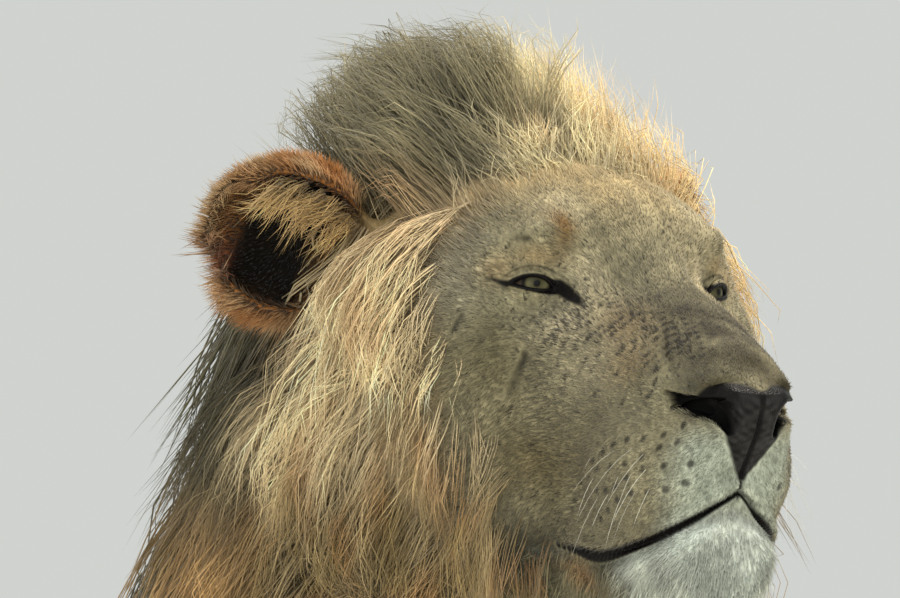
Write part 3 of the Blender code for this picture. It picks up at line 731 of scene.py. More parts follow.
def carve_face(thing):
    """Applies the rules of brow, nose, lips and lids on both sides, each in the folded head frame."""
    places = places_of(thing)
    head = to_head(places)
    near = np.flatnonzero(on_face(head) & (head[:, 2] < FACE_TOP))
    side = np.where(head[near, 0] < 0, -1.0, 1.0)
    fold = np.stack((side, np.ones(len(near)), np.ones(len(near))), 1)
    normals = normals_of(thing)[near] @ TURN * fold
    p = shape_brow(mirrored(head[near]), normals, head[near, 0] > 0)
    p = shape_nose(p)
    p = shape_lips(p, normals)
    p = shape_lids(p)
    places[near] = to_world(p * fold)
    put_places(thing, places)


carve_face(skin)
print("face carved on", len(skin.data.vertices), "points")

# %% Full legs and flat soles
# The legs' coat is thin, so their skin lies nearer to the outline than the trunk's does.
LEG_SWELL = 0.0045
TOE_GROOVE_DEPTH = 0.0075
TOE_GROOVES = (-0.25, 0.0, 0.25)
SOLE_HEIGHT = 0.0005
# Hollows of shoulder, flank, thigh, hock, elbow, stifle, back and ribs: middle, radii and depth.
HOLLOWS = (
    ((0.2, -0.25, 0.8), (0.1, 0.045, 0.17), 0.012), ((0.19, 0.235, 0.85),
    (0.1, 0.07, 0.1), 0.015),
    ((0.15, 0.52, 0.74), (0.1, 0.026, 0.11), 0.008), ((0.13, 0.48, 0.49),
    (0.06, 0.028, 0.07), 0.006),
    ((0.14, -0.33, 0.6), (0.1, 0.03, 0.09), 0.008), ((0.17, 0.29, 0.66),
    (0.08, 0.035, 0.08), 0.008),
    ((0.0, 0.15, 1.1), (0.02, 0.35, 0.06), 0.004), ((0.21, 0.0, 0.96),
    (0.1, 0.16, 0.05), 0.005),
)


def toe_grooves(points):
    """How deep places lie in the grooves between the toes, 0 to 1, over the front half of every paw."""
    share_of_groove = np.zeros(len(points))
    for side, _, foot_y, aside, share in FEET:
        wide, long, high = np.array(PAW_SIZE) * share
        a = (points[:, 0] - side * aside) / wide
        f = (foot_y + BODY_SHIFT[1] - points[:, 1]) / long
        over = fade(0.06, 0.26, f) * (np.abs(a) < 0.6) * (points[:, 2] < high) * (f < 0.7)
        groove = sum(bump(a - at * (1 - 0.25 * np.clip(0.3 - f, 0, 1)), 0.055) for at in TOE_GROOVES)
        share_of_groove = np.maximum(share_of_groove, groove * over)
    return share_of_groove


standing = places_of(skin)
on_leg = fade(0.68, 0.54, standing[:, 2]) * (standing[:, 1] < 0.78)
push = LEG_SWELL * on_leg - TOE_GROOVE_DEPTH * toe_grooves(standing)
for place, radii, depth in HOLLOWS:
    push -= depth * spot(mirrored(standing), place, radii)
standing += normals_of(skin) * push[:, None]
standing[:, 2] = np.maximum(standing[:, 2], SOLE_HEIGHT)
put_places(skin, standing)
low, high = standing.min(0), standing.max(0)
print("skin spans", low.round(3), "to", high.round(3))

# %% [markdown]
# ## The colours of the coat
#
# Skin and coat must carry the same markings, so one rule gives the colour of any place: grey-tan
# on the face, darker along the bridge, pale at the lips and chin, gold in front of the mane, dark
# behind the ears. The same rule paints in some light and shade: painted sunlight on the forehead,
# painted shade on the lower cheek, the jaw and the throat and in the ears' hollows. Every short tuft
# asks this rule for the colour at its middle, and the skin asks it at each of its points.

# %% Colour at any place
def linear(red, green, blue):
    """A display colour of 0 to 255 as linear light: ((c + 0.055) / 1.055) to the power 2.4."""
    return np.array([((c / 255 + 0.055) / 1.055) ** 2.4 for c in (red, green, blue)])


def waves(points, size, seed):
    """Soft pseudo-random waves from -1 to 1: a sum of six sines with random directions near one size."""
    draw = np.random.default_rng(seed)
    total = np.zeros(len(points))
    for _ in range(6):
        direction = draw.normal(size=3)
        direction *= 2 * np.pi / (size * draw.uniform(0.6, 1.5) * np.linalg.norm(direction))
        total += np.sin(points @ direction + draw.uniform(0, 6.3))
    return total / 3.2


def blend(colour, other, share):
    """Mixes in another colour by a share from 0 to 1."""
    return colour + (other - colour) * np.clip(share, 0, 1)[:, None]


def tiled(colour, points):
    """The same colour for every point."""
    return np.tile(colour, (len(points), 1))


def numbered_grid(rows, columns):
    """The row number and the column number of every place in a grid, as two flat arrays."""
    row, column = np.meshgrid(np.arange(rows), np.arange(columns), indexing="ij")
    return row.ravel(), column.ravel()


print("colour tools ready")

# %% The palette, the patches, the lines and the scars
TAWNY, PALE, FACE = linear(172, 143, 100), linear(204, 186, 148), linear(139, 131, 104)
BRIDGE, GOLDEN, BLACK = linear(68, 62, 47), linear(186, 152, 98), linear(16, 14, 14)
LIP_PALE, CHIN, MUZZLE = linear(166, 173, 158), linear(212, 218, 208), linear(142, 134, 108)
PALE_FUR, TAN, FLECK = linear(206, 192, 158), linear(164, 134, 90), linear(42, 36, 30)
FOREHEAD_LIT, JAW_SHADE, LIP_SHADE = linear(220, 196, 148), linear(112, 108, 84), linear(92, 94, 84)
THROAT_SHADE, BROW_RUST, CHIN_RUST = linear(48, 46, 34), linear(122, 92, 50), linear(176, 126, 72)
DARK_MANE, BACK_BROWN, TOE_SHADE = linear(70, 60, 44), linear(150, 116, 76), linear(84, 66, 44)
EAR_RUST, EAR_BROWN, EAR_HOLLOW_SHADE = linear(168, 112, 60), linear(122, 88, 52), linear(20, 16, 12)
# The second colour here is the grey of a painted reflection on the front of the nose pad.
BARE_SKIN, PAD_PAINTED_REFLECTION = linear(150, 92, 76), linear(48, 46, 46)
# Soft oval patches of the face: the colour, its strength, the middle and the radii.
SIDE_PATCHES = (
    # This first patch is pale forehead fur brightened as painted sunlight from above.
    (linear(206, 182, 134), 0.75, (0.006, 0.035, 0.056), (0.045, 0.045, 0.03)),
    (linear(184, 176, 150), 0.8, (0.105, 0.04, 0.015), (0.022, 0.035, 0.04)),
    # These two darker patches on the cheek are painted shade.
    (linear(104, 96, 68), 0.65, (0.088, 0.015, -0.045), (0.03, 0.045, 0.03)),
    (linear(106, 92, 60), 0.7, (0.075, -0.02, -0.11), (0.03, 0.05, 0.026)),
)
EYE_PATCHES = (
    (PALE_FUR, 0.95, (0.041, -0.026, 0.006), (0.012, 0.016, 0.013)),
    (PALE_FUR, 0.75, (0.062, -0.03, -0.028), (0.022, 0.026, 0.015)),
    (PALE_FUR, 0.6, (0.052, -0.055, -0.055), (0.022, 0.03, 0.018)),
    (PALE_FUR, 0.55, (0.044, 0.004, 0.048), (0.014, 0.02, 0.02)),
    (TAN, 0.42, (0.04, -0.072, -0.03), (0.014, 0.024, 0.016)),
    (TAN, 0.42, (0.045, -0.088, -0.055), (0.014, 0.02, 0.014)),
    (TAN, 0.42, (0.082, 0.02, 0.01), (0.014, 0.012, 0.01)),
    (TAN, 0.42, (0.06, 0.002, 0.017), (0.016, 0.012, 0.007)),
    (TAN, 0.42, (0.015, 0.02, 0.05), (0.014, 0.03, 0.016)),
)
TEAR_LINE = smooth_rows([
    (-0.013, -0.0015, 0.004), (-0.017, -0.005, 0.0044), (-0.0215, -0.0092, 0.0036),
    (-0.026, -0.0135, 0.0022),
    (-0.029, -0.0165, 0.0006),
], 6)
OUTER_LINE = smooth_rows([
    (0.0185, 0.0005, 0.002), (0.024, 0.0025, 0.0012), (0.031, 0.005, 0.0005),
], 6)
# Each scar is a start, an end, a half width and a strength.
SCARS = (
    ((-0.074, 0.012, 0.029), (-0.068, 0.002, 0.0275), 0.0014, 0.85),
    ((-0.101, 0.027, -0.019), (-0.103, 0.03, -0.027), 0.0016, 0.8),
    ((-0.112, 0.113, -0.009), (-0.112, 0.118, -0.019), 0.0026, 0.7),
    ((-0.073, -0.006, -0.044), (-0.076, -0.001, -0.056), 0.0015, 0.8),
    ((-0.077, 0.001, -0.06), (-0.079, 0.004, -0.068), 0.0013, 0.7),
    ((-0.041, -0.05, -0.012), (-0.042, -0.053, -0.016), 0.0017, 0.8),
    ((-0.03, -0.104, -0.038), (-0.037, -0.131, -0.066), 0.0011, 0.75),
    ((-0.01, -0.128, -0.04), (-0.016, -0.134, -0.05), 0.0013, 0.7),
    ((-0.025, -0.098, -0.03), (-0.021, -0.104, -0.036), 0.0017, 0.65),
    ((-0.056, -0.004, 0.064), (-0.054, -0.006, 0.058), 0.0015, 0.6),
    ((0.03, -0.06, -0.02), (0.026, -0.066, -0.026), 0.0016, 0.7),
    ((0.072, 0.004, 0.03), (0.07, -0.004, 0.022), 0.0015, 0.7),
    ((0.08, 0.006, -0.06), (0.076, -0.004, -0.072), 0.0014, 0.7),
)


print("patches:", len(SIDE_PATCHES + EYE_PATCHES), "scars:", len(SCARS))

# %% Flecks, scars and the face's colour
def flecks(points):
    """Small dark flecks at head-frame places, 0 to 1: where two sizes of waves together pass a level.

    The level is lowest under the eyes and over the bridge, so the flecks crowd there."""
    p = mirrored(points)
    _, y, z = p.T
    crowd = 0.95 * spot(p, (0.06, -0.03, -0.03), (0.028, 0.036, 0.022))
    crowd += 1.1 * spot(p, (0.022, -0.105, -0.042), (0.032, 0.044, 0.028))
    crowd += 0.45 * spot(p, (0.036, -0.06, -0.012), (0.034, 0.04, 0.03))
    crowd -= 1.2 * fade(-0.082, -0.098, z) * fade(-0.04, -0.08, y) + 1.2 * fade(0.06, 0.1, y)
    height = waves(points, 0.0042, 31) + 0.4 * waves(points, 0.014, 34)
    return fade(-0.1, 0.12, height - 1.15 + crowd) * fade(-0.19, -0.15, z)


def scar_share(points, margin=0.0):
    """The scars' strength at head-frame places: the largest bump about any scar's line, widened by margin."""
    share = np.zeros(len(points))
    for start, end, width, strength in SCARS:
        away = far_from_line(points, np.linspace(start, end, 12))[0]
        share = np.maximum(share, strength * bump(away, 1.9 * width + margin))
    return share


def with_patches(colour, p, patches):
    """Blends soft oval patches into the colour of folded places, one after the other."""
    for patch, strength, place, radii in patches:
        colour = blend(colour, patch, strength * spot(p, place, radii))
    return colour


def face_colour(points):
    """Colours of the face by head-frame place: patches and bands mixed over a grey-tan ground, with painted
    sunlight on the forehead and painted shade on the lower cheek, the jaw, the throat and under the lip.
    """
    p = mirrored(points)
    x, y, z = p.T
    colour = tiled(FACE, p)
    colour = blend(colour, GOLDEN, 0.55 * fade(0.045, 0.1, y + 0.25 * x))
    # The top of the head is lighter: pale forehead fur together with painted sunlight from above.
    above = 0.8 * fade(0.04, 0.075, z) * fade(0.01, 0.06, y) * fade(0.085, 0.05, x)
    colour = with_patches(blend(colour, FOREHEAD_LIT, above), p, SIDE_PATCHES)
    top = fade(0.044, 0.026, x) * fade(-0.045, -0.095, y) * fade(-0.095, -0.072, z)
    colour = blend(colour, BRIDGE, top * (0.72 + 0.22 * waves(points, 0.03, 36)))
    colour = blend(colour, MUZZLE, 0.7 * fade(-0.05, -0.09, y) * fade(-0.07, -0.1, z))
    pale = fade(-0.115, -0.145, y + 0.35 * (z + 0.12)) * fade(-0.088, -0.112, z)
    colour = blend(colour, LIP_PALE, 0.9 * pale)
    mouth_height = np.interp(y, MOUTH_LINE[:, 1], MOUTH_LINE[:, 2])
    jaw = fade(0.002, -0.006, z - mouth_height) * fade(0.05, 0.0, y)
    # The lower jaw below the mouth line is darkened to a grey olive as painted shade.
    colour = blend(colour, JAW_SHADE, 0.8 * jaw)
    colour = blend(colour, CHIN, 0.95 * jaw * fade(-0.05, -0.085, y))
    colour = blend(colour, THROAT_SHADE, 0.9 * spot(p, (0.07, 0.008, -0.16), (0.03, 0.04, 0.024)))
    under_lip = fade(0.001, -0.003, z - mouth_height) * fade(-0.012, -0.004, z - mouth_height)
    colour = blend(colour, LIP_SHADE, 0.55 * (under_lip * (y < 0)))
    colour = with_patches(colour, p, EYE_PATCHES)
    colour = blend(colour, BROW_RUST, spot(points, (-0.05, -0.01, 0.036), (0.006, 0.016, 0.015)))
    colour = blend(colour, CHIN_RUST, 0.5 * spot(p, (0.041, -0.016, -0.178), (0.02, 0.014, 0.01)))
    mottled = 1 + 0.15 * waves(points, 0.022, 32) + 0.13 * waves(points, 0.008, 33)
    return blend(colour * mottled[:, None], FLECK, 0.85 * flecks(points))


print("a cheek's colour:", face_colour(np.array([(0.08, 0.03, -0.06)])).round(3))

# %% The black marks
def whisker_spots(p):
    """Four slanting rows of seven dark spots on the folded muzzle, each a little off its place, 0 to 1."""
    x, y, z = p.T
    row, along = numbered_grid(4, 7)
    spot_y = -0.139 + 0.0118 * along + 0.0045 * (row % 2) + 0.0024 * np.sin(7.0 * along + 3.0 * row)
    spot_z = -0.099 - 0.0108 * row - 0.22 * (spot_y + 0.125) + 0.0022 * np.sin(5.0 * along + 2.0 * row)
    off_y, off_z = y[:, None] - spot_y, z[:, None] - spot_z
    apart = np.hypot((off_y - off_z) * 0.65, off_y + off_z)
    return fade(0.0034, 0.0014, apart.min(1)) * fade(0.02, 0.027, x) * fade(-0.052, -0.06, y)


def dark_marks(points):
    """Colour marks that stay black, 0 to 1: the largest of all the marks at each place.

    They are the lids and the lines from their corners, the nose pad and its slit, the lips and the
    line above them, the whisker spots and the scars, with painted shade in the crease over each upper
    lid and in the crease above the far eye."""
    p = mirrored(points)
    x, y, z = p.T
    out, rise, front = eye_place(p).T
    upper, lower, _ = lid_lines(out)
    within = (front > 0) * fade(-0.026, -0.022, out) * fade(0.0225, 0.0195, out)
    upper_lid = fade(0.0009, 0.0, rise - upper)
    lower_lid = fade(0.0015, 0.0005, lower - rise)
    marks = [np.minimum(upper_lid, lower_lid) * within]
    # A dark line in the crease over the upper lid: painted shade in the crease.
    marks.append(0.62 * bump(rise - upper - 0.0052, 0.0009) * within)
    for line in (TEAR_LINE, OUTER_LINE):
        away = from_stroke(np.stack((out, rise), 1), line)
        marks.append(fade(0.002, -0.001, away) * (front > -0.012))
    marks += [pad_mask(p), slit_share(p)]
    lip, at = far_from_line(around_muzzle(p), MOUTH_FLAT)
    marks.append(fade(0.0016, -0.0002, lip - MOUTH_HALF[at]) * fade(0.004, -0.01, y))
    above_lip = fade(-0.125, -0.129, z) * fade(-0.142, -0.137, z)
    marks.append(bump(x, 0.0014) * (y < -0.12) * above_lip)
    marks.append(0.8 * whisker_spots(p))
    # The crease above the far eye is darkened as painted shade.
    marks.append(0.8 * bump(far_from_line(points, FAR_CREASE)[0], 0.0016))
    marks.append(scar_share(points))
    return np.maximum.reduce(marks)


print("the nose pad's mark:", dark_marks(np.array([(0.0, -0.165, -0.09)])))

# %% The colours of the body and the ears
def body_colour(points):
    """Tawny, browner on the back, paler below and inside the legs, dark under the mane and at the tuft."""
    x, y, z = points.T
    colour = tiled(TAWNY, points)
    colour = blend(colour, PALE, 0.65 * fade(0.78, 0.62, z) * fade(0.12, 0.06, np.abs(x)))
    colour = blend(colour, PALE, 0.35 * fade(0.55, 0.1, z))
    colour = blend(colour, BACK_BROWN, 0.45 * fade(0.98, 1.06, z))
    colour = blend(colour, DARK_MANE, 0.85 * fade(0.4, 0.33, z) * fade(0.8, 0.86, y))
    neck = fade(-0.22, -0.42, y + 0.03 * waves(points, 0.12, 41)) * fade(0.78, 0.88, z)
    colour = blend(colour, DARK_MANE, 0.8 * neck)
    return blend(colour, TOE_SHADE, 0.7 * toe_grooves(points))


def ear_shares(head):
    """How much each head-frame place lies on an ear and in its hollow, 0 to 1, and its ear-frame place.

    The hollow is full where the place's share of the ear's own ellipse is under 0.8, and ends at 0.92."""
    ears, hollows, local = np.zeros(len(head)), np.zeros(len(head)), np.zeros_like(head)
    for side in (1, -1):
        turn, root = ear_place(side)
        near = np.flatnonzero(head[:, 0] * side > 0.05)
        here = (head[near] - root) @ turn
        local[near] = here
        a, b, c = here.T
        across = ear_outline(c, 0.1)
        share = np.hypot(a / (across * EAR_HALF_WIDTH), b / (across * EAR_HALF_DEPTH))
        ears[near] = fade(0.008, 0.026, c) * (c < 0.13) * (np.hypot(a, b * 1.3) < 0.068)
        hollows[near] = ears[near] * fade(0.92, 0.8, share) * fade(0.082, 0.066, c)
    return ears, hollows, local


def tear_share(head):
    """1 at the bare skin of the right ear's torn edge, in the ear's own frame, fading over a centimetre."""
    turn, root = ear_place(-1)
    return spot((head - root) @ turn, EAR_TEAR, (0.012, 0.03, 0.009))


def coat_colour(points):
    """The colour of the coat at world places: the body's, turning into the face's in front of the mane."""
    head = to_head(points)
    folded = mirrored(head)
    share = fade(0.24, 0.17, folded[:, 1] + 0.35 * folded[:, 0]) * fade(-0.24, -0.2, head[:, 2])
    share = share * (folded[:, 0] < 0.16)
    colour = body_colour(points)
    colour += (face_colour(head) - colour) * share[:, None]
    ear, hollow, local = ear_shares(head)
    rust = blend(tiled(EAR_RUST, points), EAR_BROWN, 0.7 * fade(0.06, 0.095, local[:, 2]))
    colour += (rust - colour) * ear[:, None]
    # The ear's hollow is dark skin, deepened to near black as painted shade inside the cup.
    colour = blend(colour, EAR_HOLLOW_SHADE, hollow)
    colour = blend(colour, BARE_SKIN, 0.9 * tear_share(head))
    return np.clip(colour, 0.003, 1)


print("a flank's colour:", coat_colour(np.array([(0.2, 0.1, 0.8)])).round(3))

# %% The skin painted
def all_marks(points):
    """The black marks at world places, nothing away from the face."""
    head = to_head(points)
    marks = np.zeros(len(points))
    near = np.flatnonzero(on_face(head))
    marks[near] = dark_marks(head[near])
    return marks


def paint(thing, colours, name="Coat"):
    """Stores a colour for every point of a mesh."""
    layer = thing.data.color_attributes.new(name, "FLOAT_COLOR", "POINT")
    opaque = np.hstack((colours, np.ones((len(colours), 1))))
    layer.data.foreach_set("color", opaque.astype(np.float32).ravel())


def store(thing, name, values):
    """Stores a number for every point of a mesh."""
    thing.data.attributes.new(name, "FLOAT", "POINT").data.foreach_set("value", values.astype(np.float32))


def shade_smooth(thing):
    """Lets the light run smoothly over the edges of a mesh."""
    thing.data.polygons.foreach_set("use_smooth", np.ones(len(thing.data.polygons), bool))


skin_places = places_of(skin)
skin_marks = all_marks(skin_places)
skin_colours = coat_colour(skin_places)
skin_colours += (BLACK - skin_colours) * skin_marks[:, None]
folded_skin = mirrored(to_head(skin_places))
aside, _, up = folded_skin.T
# The front of the nose pad is lightened to a mottled grey: a painted reflection of light on the damp leather.
pad_front = pad_mask(folded_skin) * fade(-0.073, -0.084, up) * fade(0.02, 0.012, aside)
pad_reflection = pad_front * (0.45 + 0.55 * waves(folded_skin, 0.0075, 35)) * fade(0.0008, 0.003, aside)
skin_colours += (PAD_PAINTED_REFLECTION - skin_colours) * np.clip(pad_reflection, 0, 0.8)[:, None]
# The nostrils, the slits and the fold between them are painted nearly black, as the shade inside the holes.
hole = hole_shade_share(folded_skin)
skin_colours *= 1 - 0.95 * hole[:, None]
paint(skin, skin_colours)
store(skin, "Leather", skin_marks * (1 - hole))
print("skin painted,", len(skin_places), "points")

# %% [markdown]
# ## Finishes
#
# Hide and hair are rough and scatter light. The nose pad and the lips are damp leather: darker,
# smoother and finely pebbled. The skin reads its colour from the stored attribute and breaks it up
# with fine stretched noise, as short hair does.

# %% Material tools
def new_material(name, roughness, specular=0.3):
    """An empty Principled material with its constant values set on the shader's own sockets."""
    material = bpy.data.materials.new(name)
    material.use_nodes = True
    shader = material.node_tree.nodes["Principled BSDF"]
    shader.inputs["Roughness"].default_value = roughness
    shader.inputs["Specular IOR Level"].default_value = specular
    return material, material.node_tree, shader


def node(tree, kind, **values):
    """Adds a shader node and sets its own settings by name."""
    made = tree.nodes.new("ShaderNode" + kind)
    for name, value in values.items():
        setattr(made, name, value)
    return made


def noise(tree, scale, detail=2.0, stretch=None):
    """The value of a noise texture on Object coordinates, stretched along an axis where stretch is given."""
    place = node(tree, "TexCoord")
    mapping = node(tree, "Mapping")
    mapping.inputs["Scale"].default_value = stretch or (1, 1, 1)
    texture = node(tree, "TexNoise")
    texture.inputs["Scale"].default_value = scale
    texture.inputs["Detail"].default_value = detail
    tree.links.new(place.outputs["Object"], mapping.inputs["Vector"])
    tree.links.new(mapping.outputs["Vector"], texture.inputs["Vector"])
    return texture.outputs["Fac"]


def in_range(tree, value, low, high, to_low, to_high):
    """A Map Range node from low..high to to_low..to_high."""
    made = node(tree, "MapRange")
    for socket, number in zip(("From Min", "From Max", "To Min", "To Max"), (low, high, to_low, to_high)):
        made.inputs[socket].default_value = number
    tree.links.new(value, made.inputs["Value"])
    return made.outputs["Result"]


def times(tree, colour, factor):
    """A colour multiplied by a number, by a Vector Math scale."""
    made = node(tree, "VectorMath", operation="SCALE")
    tree.links.new(colour, made.inputs[0])
    tree.links.new(factor, made.inputs["Scale"])
    return made.outputs[0]


def add_bump(tree, shader, heights, distance):
    """Chains Bump nodes, one for each (height, strength) pair, into the shader's normal."""
    last = None
    for height, strength in heights:
        made = node(tree, "Bump")
        made.inputs["Distance"].default_value = distance
        made.inputs["Strength"].default_value = strength
        tree.links.new(height, made.inputs["Height"])
        if last is not None:
            tree.links.new(last, made.inputs["Normal"])
        last = made.outputs["Normal"]
    tree.links.new(last, shader.inputs["Normal"])


print("material tools ready")

# %% Hide, leather and hair
def hide_material():
    """The skin's finish: stored colour broken up by noise, with leather where the marks are."""
    material, tree, shader = new_material("hide", 0.75, 0.1)
    colour = node(tree, "Attribute", attribute_name="Coat")
    leather = node(tree, "Attribute", attribute_name="Leather")
    hairs = noise(tree, 420, 3.0, (1, 0.35, 0.5))
    patches = noise(tree, 28, 3.0)
    streak = in_range(tree, hairs, 0.3, 0.7, 0.72, 1.22)
    tint = in_range(tree, patches, 0.3, 0.7, 0.88, 1.12)
    toned = times(tree, times(tree, colour.outputs["Color"], streak), tint)
    tree.links.new(toned, shader.inputs["Base Color"])
    pebbles = node(tree, "TexVoronoi", feature="DISTANCE_TO_EDGE")
    pebbles.inputs["Scale"].default_value = 620
    place = node(tree, "TexCoord")
    tree.links.new(place.outputs["Object"], pebbles.inputs["Vector"])
    grain = in_range(tree, pebbles.outputs["Distance"], 0.0, 0.35, 0.0, 1.0)
    pebble_height = node(tree, "Math", operation="MULTIPLY")
    tree.links.new(grain, pebble_height.inputs[0])
    tree.links.new(leather.outputs["Fac"], pebble_height.inputs[1])
    rough = in_range(tree, leather.outputs["Fac"], 0.3, 1.0, 0.75, 0.42)
    tree.links.new(rough, shader.inputs["Roughness"])
    add_bump(tree, shader, ((hairs, 0.5), (pebble_height.outputs[0], 0.35)), 0.0006)
    return material


skin.data.materials.clear()
skin.data.materials.append(hide_material())
shade_smooth(skin)
FLESH = [n for n in frame["nodes"] if not n.startswith("eye_")]
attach(skin, "root")
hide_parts(*FLESH)
print("skin stands for", len(FLESH), "nodes")

# %% [markdown]
# ## Eyes
#
# A lion's eye is amber-olive with a small round pupil, under a clear bulging cornea that gives one
# sharp highlight. The ball is a stack of rings about its own axis, finest at the front. The colours
# are rings about that axis too, so each point stores its distance from it. The upper part of the
# ball is darkened as painted shade under the lid.

# %% Two eyeballs
# Points behind the ball's middle count as far off the axis, so they take the outermost colour.
EYE_SIDES = 64
BEHIND, FAR_OFF = 1.57, 9


def eyeball(side):
    """A ball of rings about the gaze: radius 19 mm, swelled by 1.3 mm·exp(-(angle / 0.36)²) at the cornea."""
    angle = np.concatenate((np.linspace(0.02, 0.9, 34), np.linspace(0.95, 3.1, 26)))[:, None]
    turn = np.linspace(0, 2 * np.pi, EYE_SIDES, endpoint=False)[None]
    radius = EYE_RADIUS - 0.0004 + 0.0013 * np.exp(-(angle / 0.36) ** 2)
    across, upward = radius * np.sin(angle) * np.cos(turn), radius * np.sin(angle) * np.sin(turn)
    forward = radius * np.cos(angle) + 0 * turn
    middle, aside, rise, front = eye_axes()
    points = middle + across[..., None] * aside + upward[..., None] * rise + forward[..., None] * front
    points, faces = closed_tube(points)
    from_axis = np.sin(angle) * np.where(angle > BEHIND, FAR_OFF, 1)
    apart = np.append(np.repeat(from_axis, EYE_SIDES), (0, FAR_OFF)) * EYE_RADIUS
    if side < 0:
        points, faces = points * (-1, 1, 1), faces[:, ::-1]
    ball = mesh_object("eyeball_left" if side > 0 else "eyeball_right", to_world(points), faces)
    # The upper part of the ball is given painted shade, standing in for the shadow the lid casts.
    lid = np.append(fade(-0.001, 0.0048, upward), (0, 0))
    store(ball, "Ring", apart * 1000)
    store(ball, "LidShade", lid)
    shade_smooth(ball)
    return ball


def eye_material():
    """Rings in millimetres from the axis: pupil, amber-olive iris with fine rays, dark rim, brown white,
    darkened toward the top as painted shade under the lid.
    """
    material, tree, shader = new_material("eye_gloss", 0.5, 0.05)
    ring = node(tree, "Attribute", attribute_name="Ring")
    rays = noise(tree, 900, 2.0)
    wobble = node(tree, "Math", operation="MULTIPLY_ADD")
    tree.links.new(rays, wobble.inputs[0])
    wobble.inputs[1].default_value = 0.5
    tree.links.new(ring.outputs["Fac"], wobble.inputs[2])
    ramp = node(tree, "ValToRGB")
    stops = (
        (0.0, (0.003, 0.003, 0.003)), (0.13, (0.003, 0.003, 0.003)), (0.155, (0.04, 0.035, 0.016)),
        (0.23, (0.074, 0.067, 0.032)), (0.4, (0.112, 0.104, 0.052)), (0.5, (0.045, 0.038, 0.02)),
        (0.54, (0.01, 0.009, 0.008)), (0.62, (0.01, 0.009, 0.008)), (0.7, (0.05, 0.035, 0.025)),
    )
    elements = ramp.color_ramp.elements
    while len(elements) < len(stops):
        elements.new(1.0)
    for element, (place, colour) in zip(elements, stops):
        element.position = place
        element.color = (*colour, 1)
    tree.links.new(in_range(tree, wobble.outputs[0], 0, 15, 0, 1), ramp.inputs["Fac"])
    lid = node(tree, "Attribute", attribute_name="LidShade")
    # The colour is darkened toward the top as painted shade under the lid.
    shaded = times(tree, ramp.outputs["Color"], in_range(tree, lid.outputs["Fac"], 0, 1, 1.15, 0.3))
    tree.links.new(shaded, shader.inputs["Base Color"])
    shader.inputs["Coat Weight"].default_value = 0.1
    shader.inputs["Coat Roughness"].default_value = 0.03
    return material


eye_finish = eye_material()
for side, name in ((1, "left"), (-1, "right")):
    ball = eyeball(side)
    ball.data.materials.append(eye_finish)
    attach(ball, "root")
    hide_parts("eye_" + name)
print("eyes made")

# %% [markdown]
# ## A coat of tufts
#
# Real fur is millions of hairs. A model needs solid tufts instead: each is a thin three-sided
# spike that starts just under the skin and leans over it. Thousands of them, overlapping along the
# lie of the coat, read as fur, and catch light and shade as fur does. All of them in one piece are
# made at once, as arrays: paths, then rings of three points about the paths, then one point at
# each tip.

# %% Tufts from paths
# The side of a tuft's own patch of the unwrap, and how far its root is sunk in the skin.
PATCH = 0.003
SUNK = 0.0005


def tuft_mesh(name, paths, radius, facing, colours, places):
    """Carries a triangle along every path: centre + r·(side·cos a + 0.8·up·sin a), down to one tip point.

    paths is (tufts, steps, 3), radius (tufts, steps - 1), facing the direction each tuft's flat side
    looks, colours (tufts, steps, 3) and places the root's spot on the unwrap, from 0 to 1."""
    count, steps, _ = paths.shape
    along = unit(np.gradient(paths, axis=1))[:, :-1]
    side = unit(np.cross(along, facing[:, None] + 1e-4))
    up = np.cross(side, along)
    angle = np.radians((90, 210, 330))
    ring = side[:, :, None] * np.cos(angle)[:, None] + up[:, :, None] * np.sin(angle)[:, None] * 0.8
    rings = paths[:, :-1, None] + ring * radius[:, :, None, None]
    each = 3 * (steps - 1) + 1
    points = np.concatenate((rings.reshape(count, -1, 3), paths[:, -1:]), axis=1)
    walls = []
    for step in range(steps - 2):
        for corner in range(3):
            a, b = 3 * step + corner, 3 * step + (corner + 1) % 3
            walls += [(a, a + 3, b + 3), (a, b + 3, b)]
    last = 3 * (steps - 2)
    walls += [(last + corner, each - 1, last + (corner + 1) % 3) for corner in range(3)]
    walls.append((0, 1, 2))
    pattern = np.array(walls)[:, ::-1]
    faces = (pattern[None] + np.arange(count)[:, None, None] * each).reshape(-1, 3)
    thing = mesh_object(name, points.reshape(-1, 3), faces)
    rows = np.append(np.repeat(np.arange(steps - 1), 3), steps - 1)
    paint(thing, colours[:, rows].reshape(-1, 3))
    spread = np.append(np.tile((-0.5, 0.5, 0.0), steps - 1), 0.0) * PATCH * 0.8
    patch = np.stack((spread, (rows / (steps - 1) - 0.5) * PATCH), -1)
    flat = (places[:, None] * (1 - 2 * PATCH) + PATCH + patch).reshape(-1, 2)
    layer = thing.data.uv_layers.new(name="OFBake")
    layer.data.foreach_set("uv", flat[faces.ravel()].astype(np.float32).ravel())
    shade_smooth(thing)
    return thing


def unwrapped(points, start, end):
    """Each root's spot on a sheet rolled round the line from start to end: its angle and how far along."""
    start, end = np.array(start), np.array(end)
    along = unit(end - start)
    first = unit(np.cross(along, (0.31, 0.17, 0.93)))
    second = np.cross(along, first)
    away = points - start
    turn = np.arctan2(away @ second, away @ first) / (2 * np.pi) + 0.5
    height = away @ along
    height = (height - height.min()) / max(np.ptp(height), 1e-6)
    return np.stack((turn, height), 1)


print("tuft tools ready")

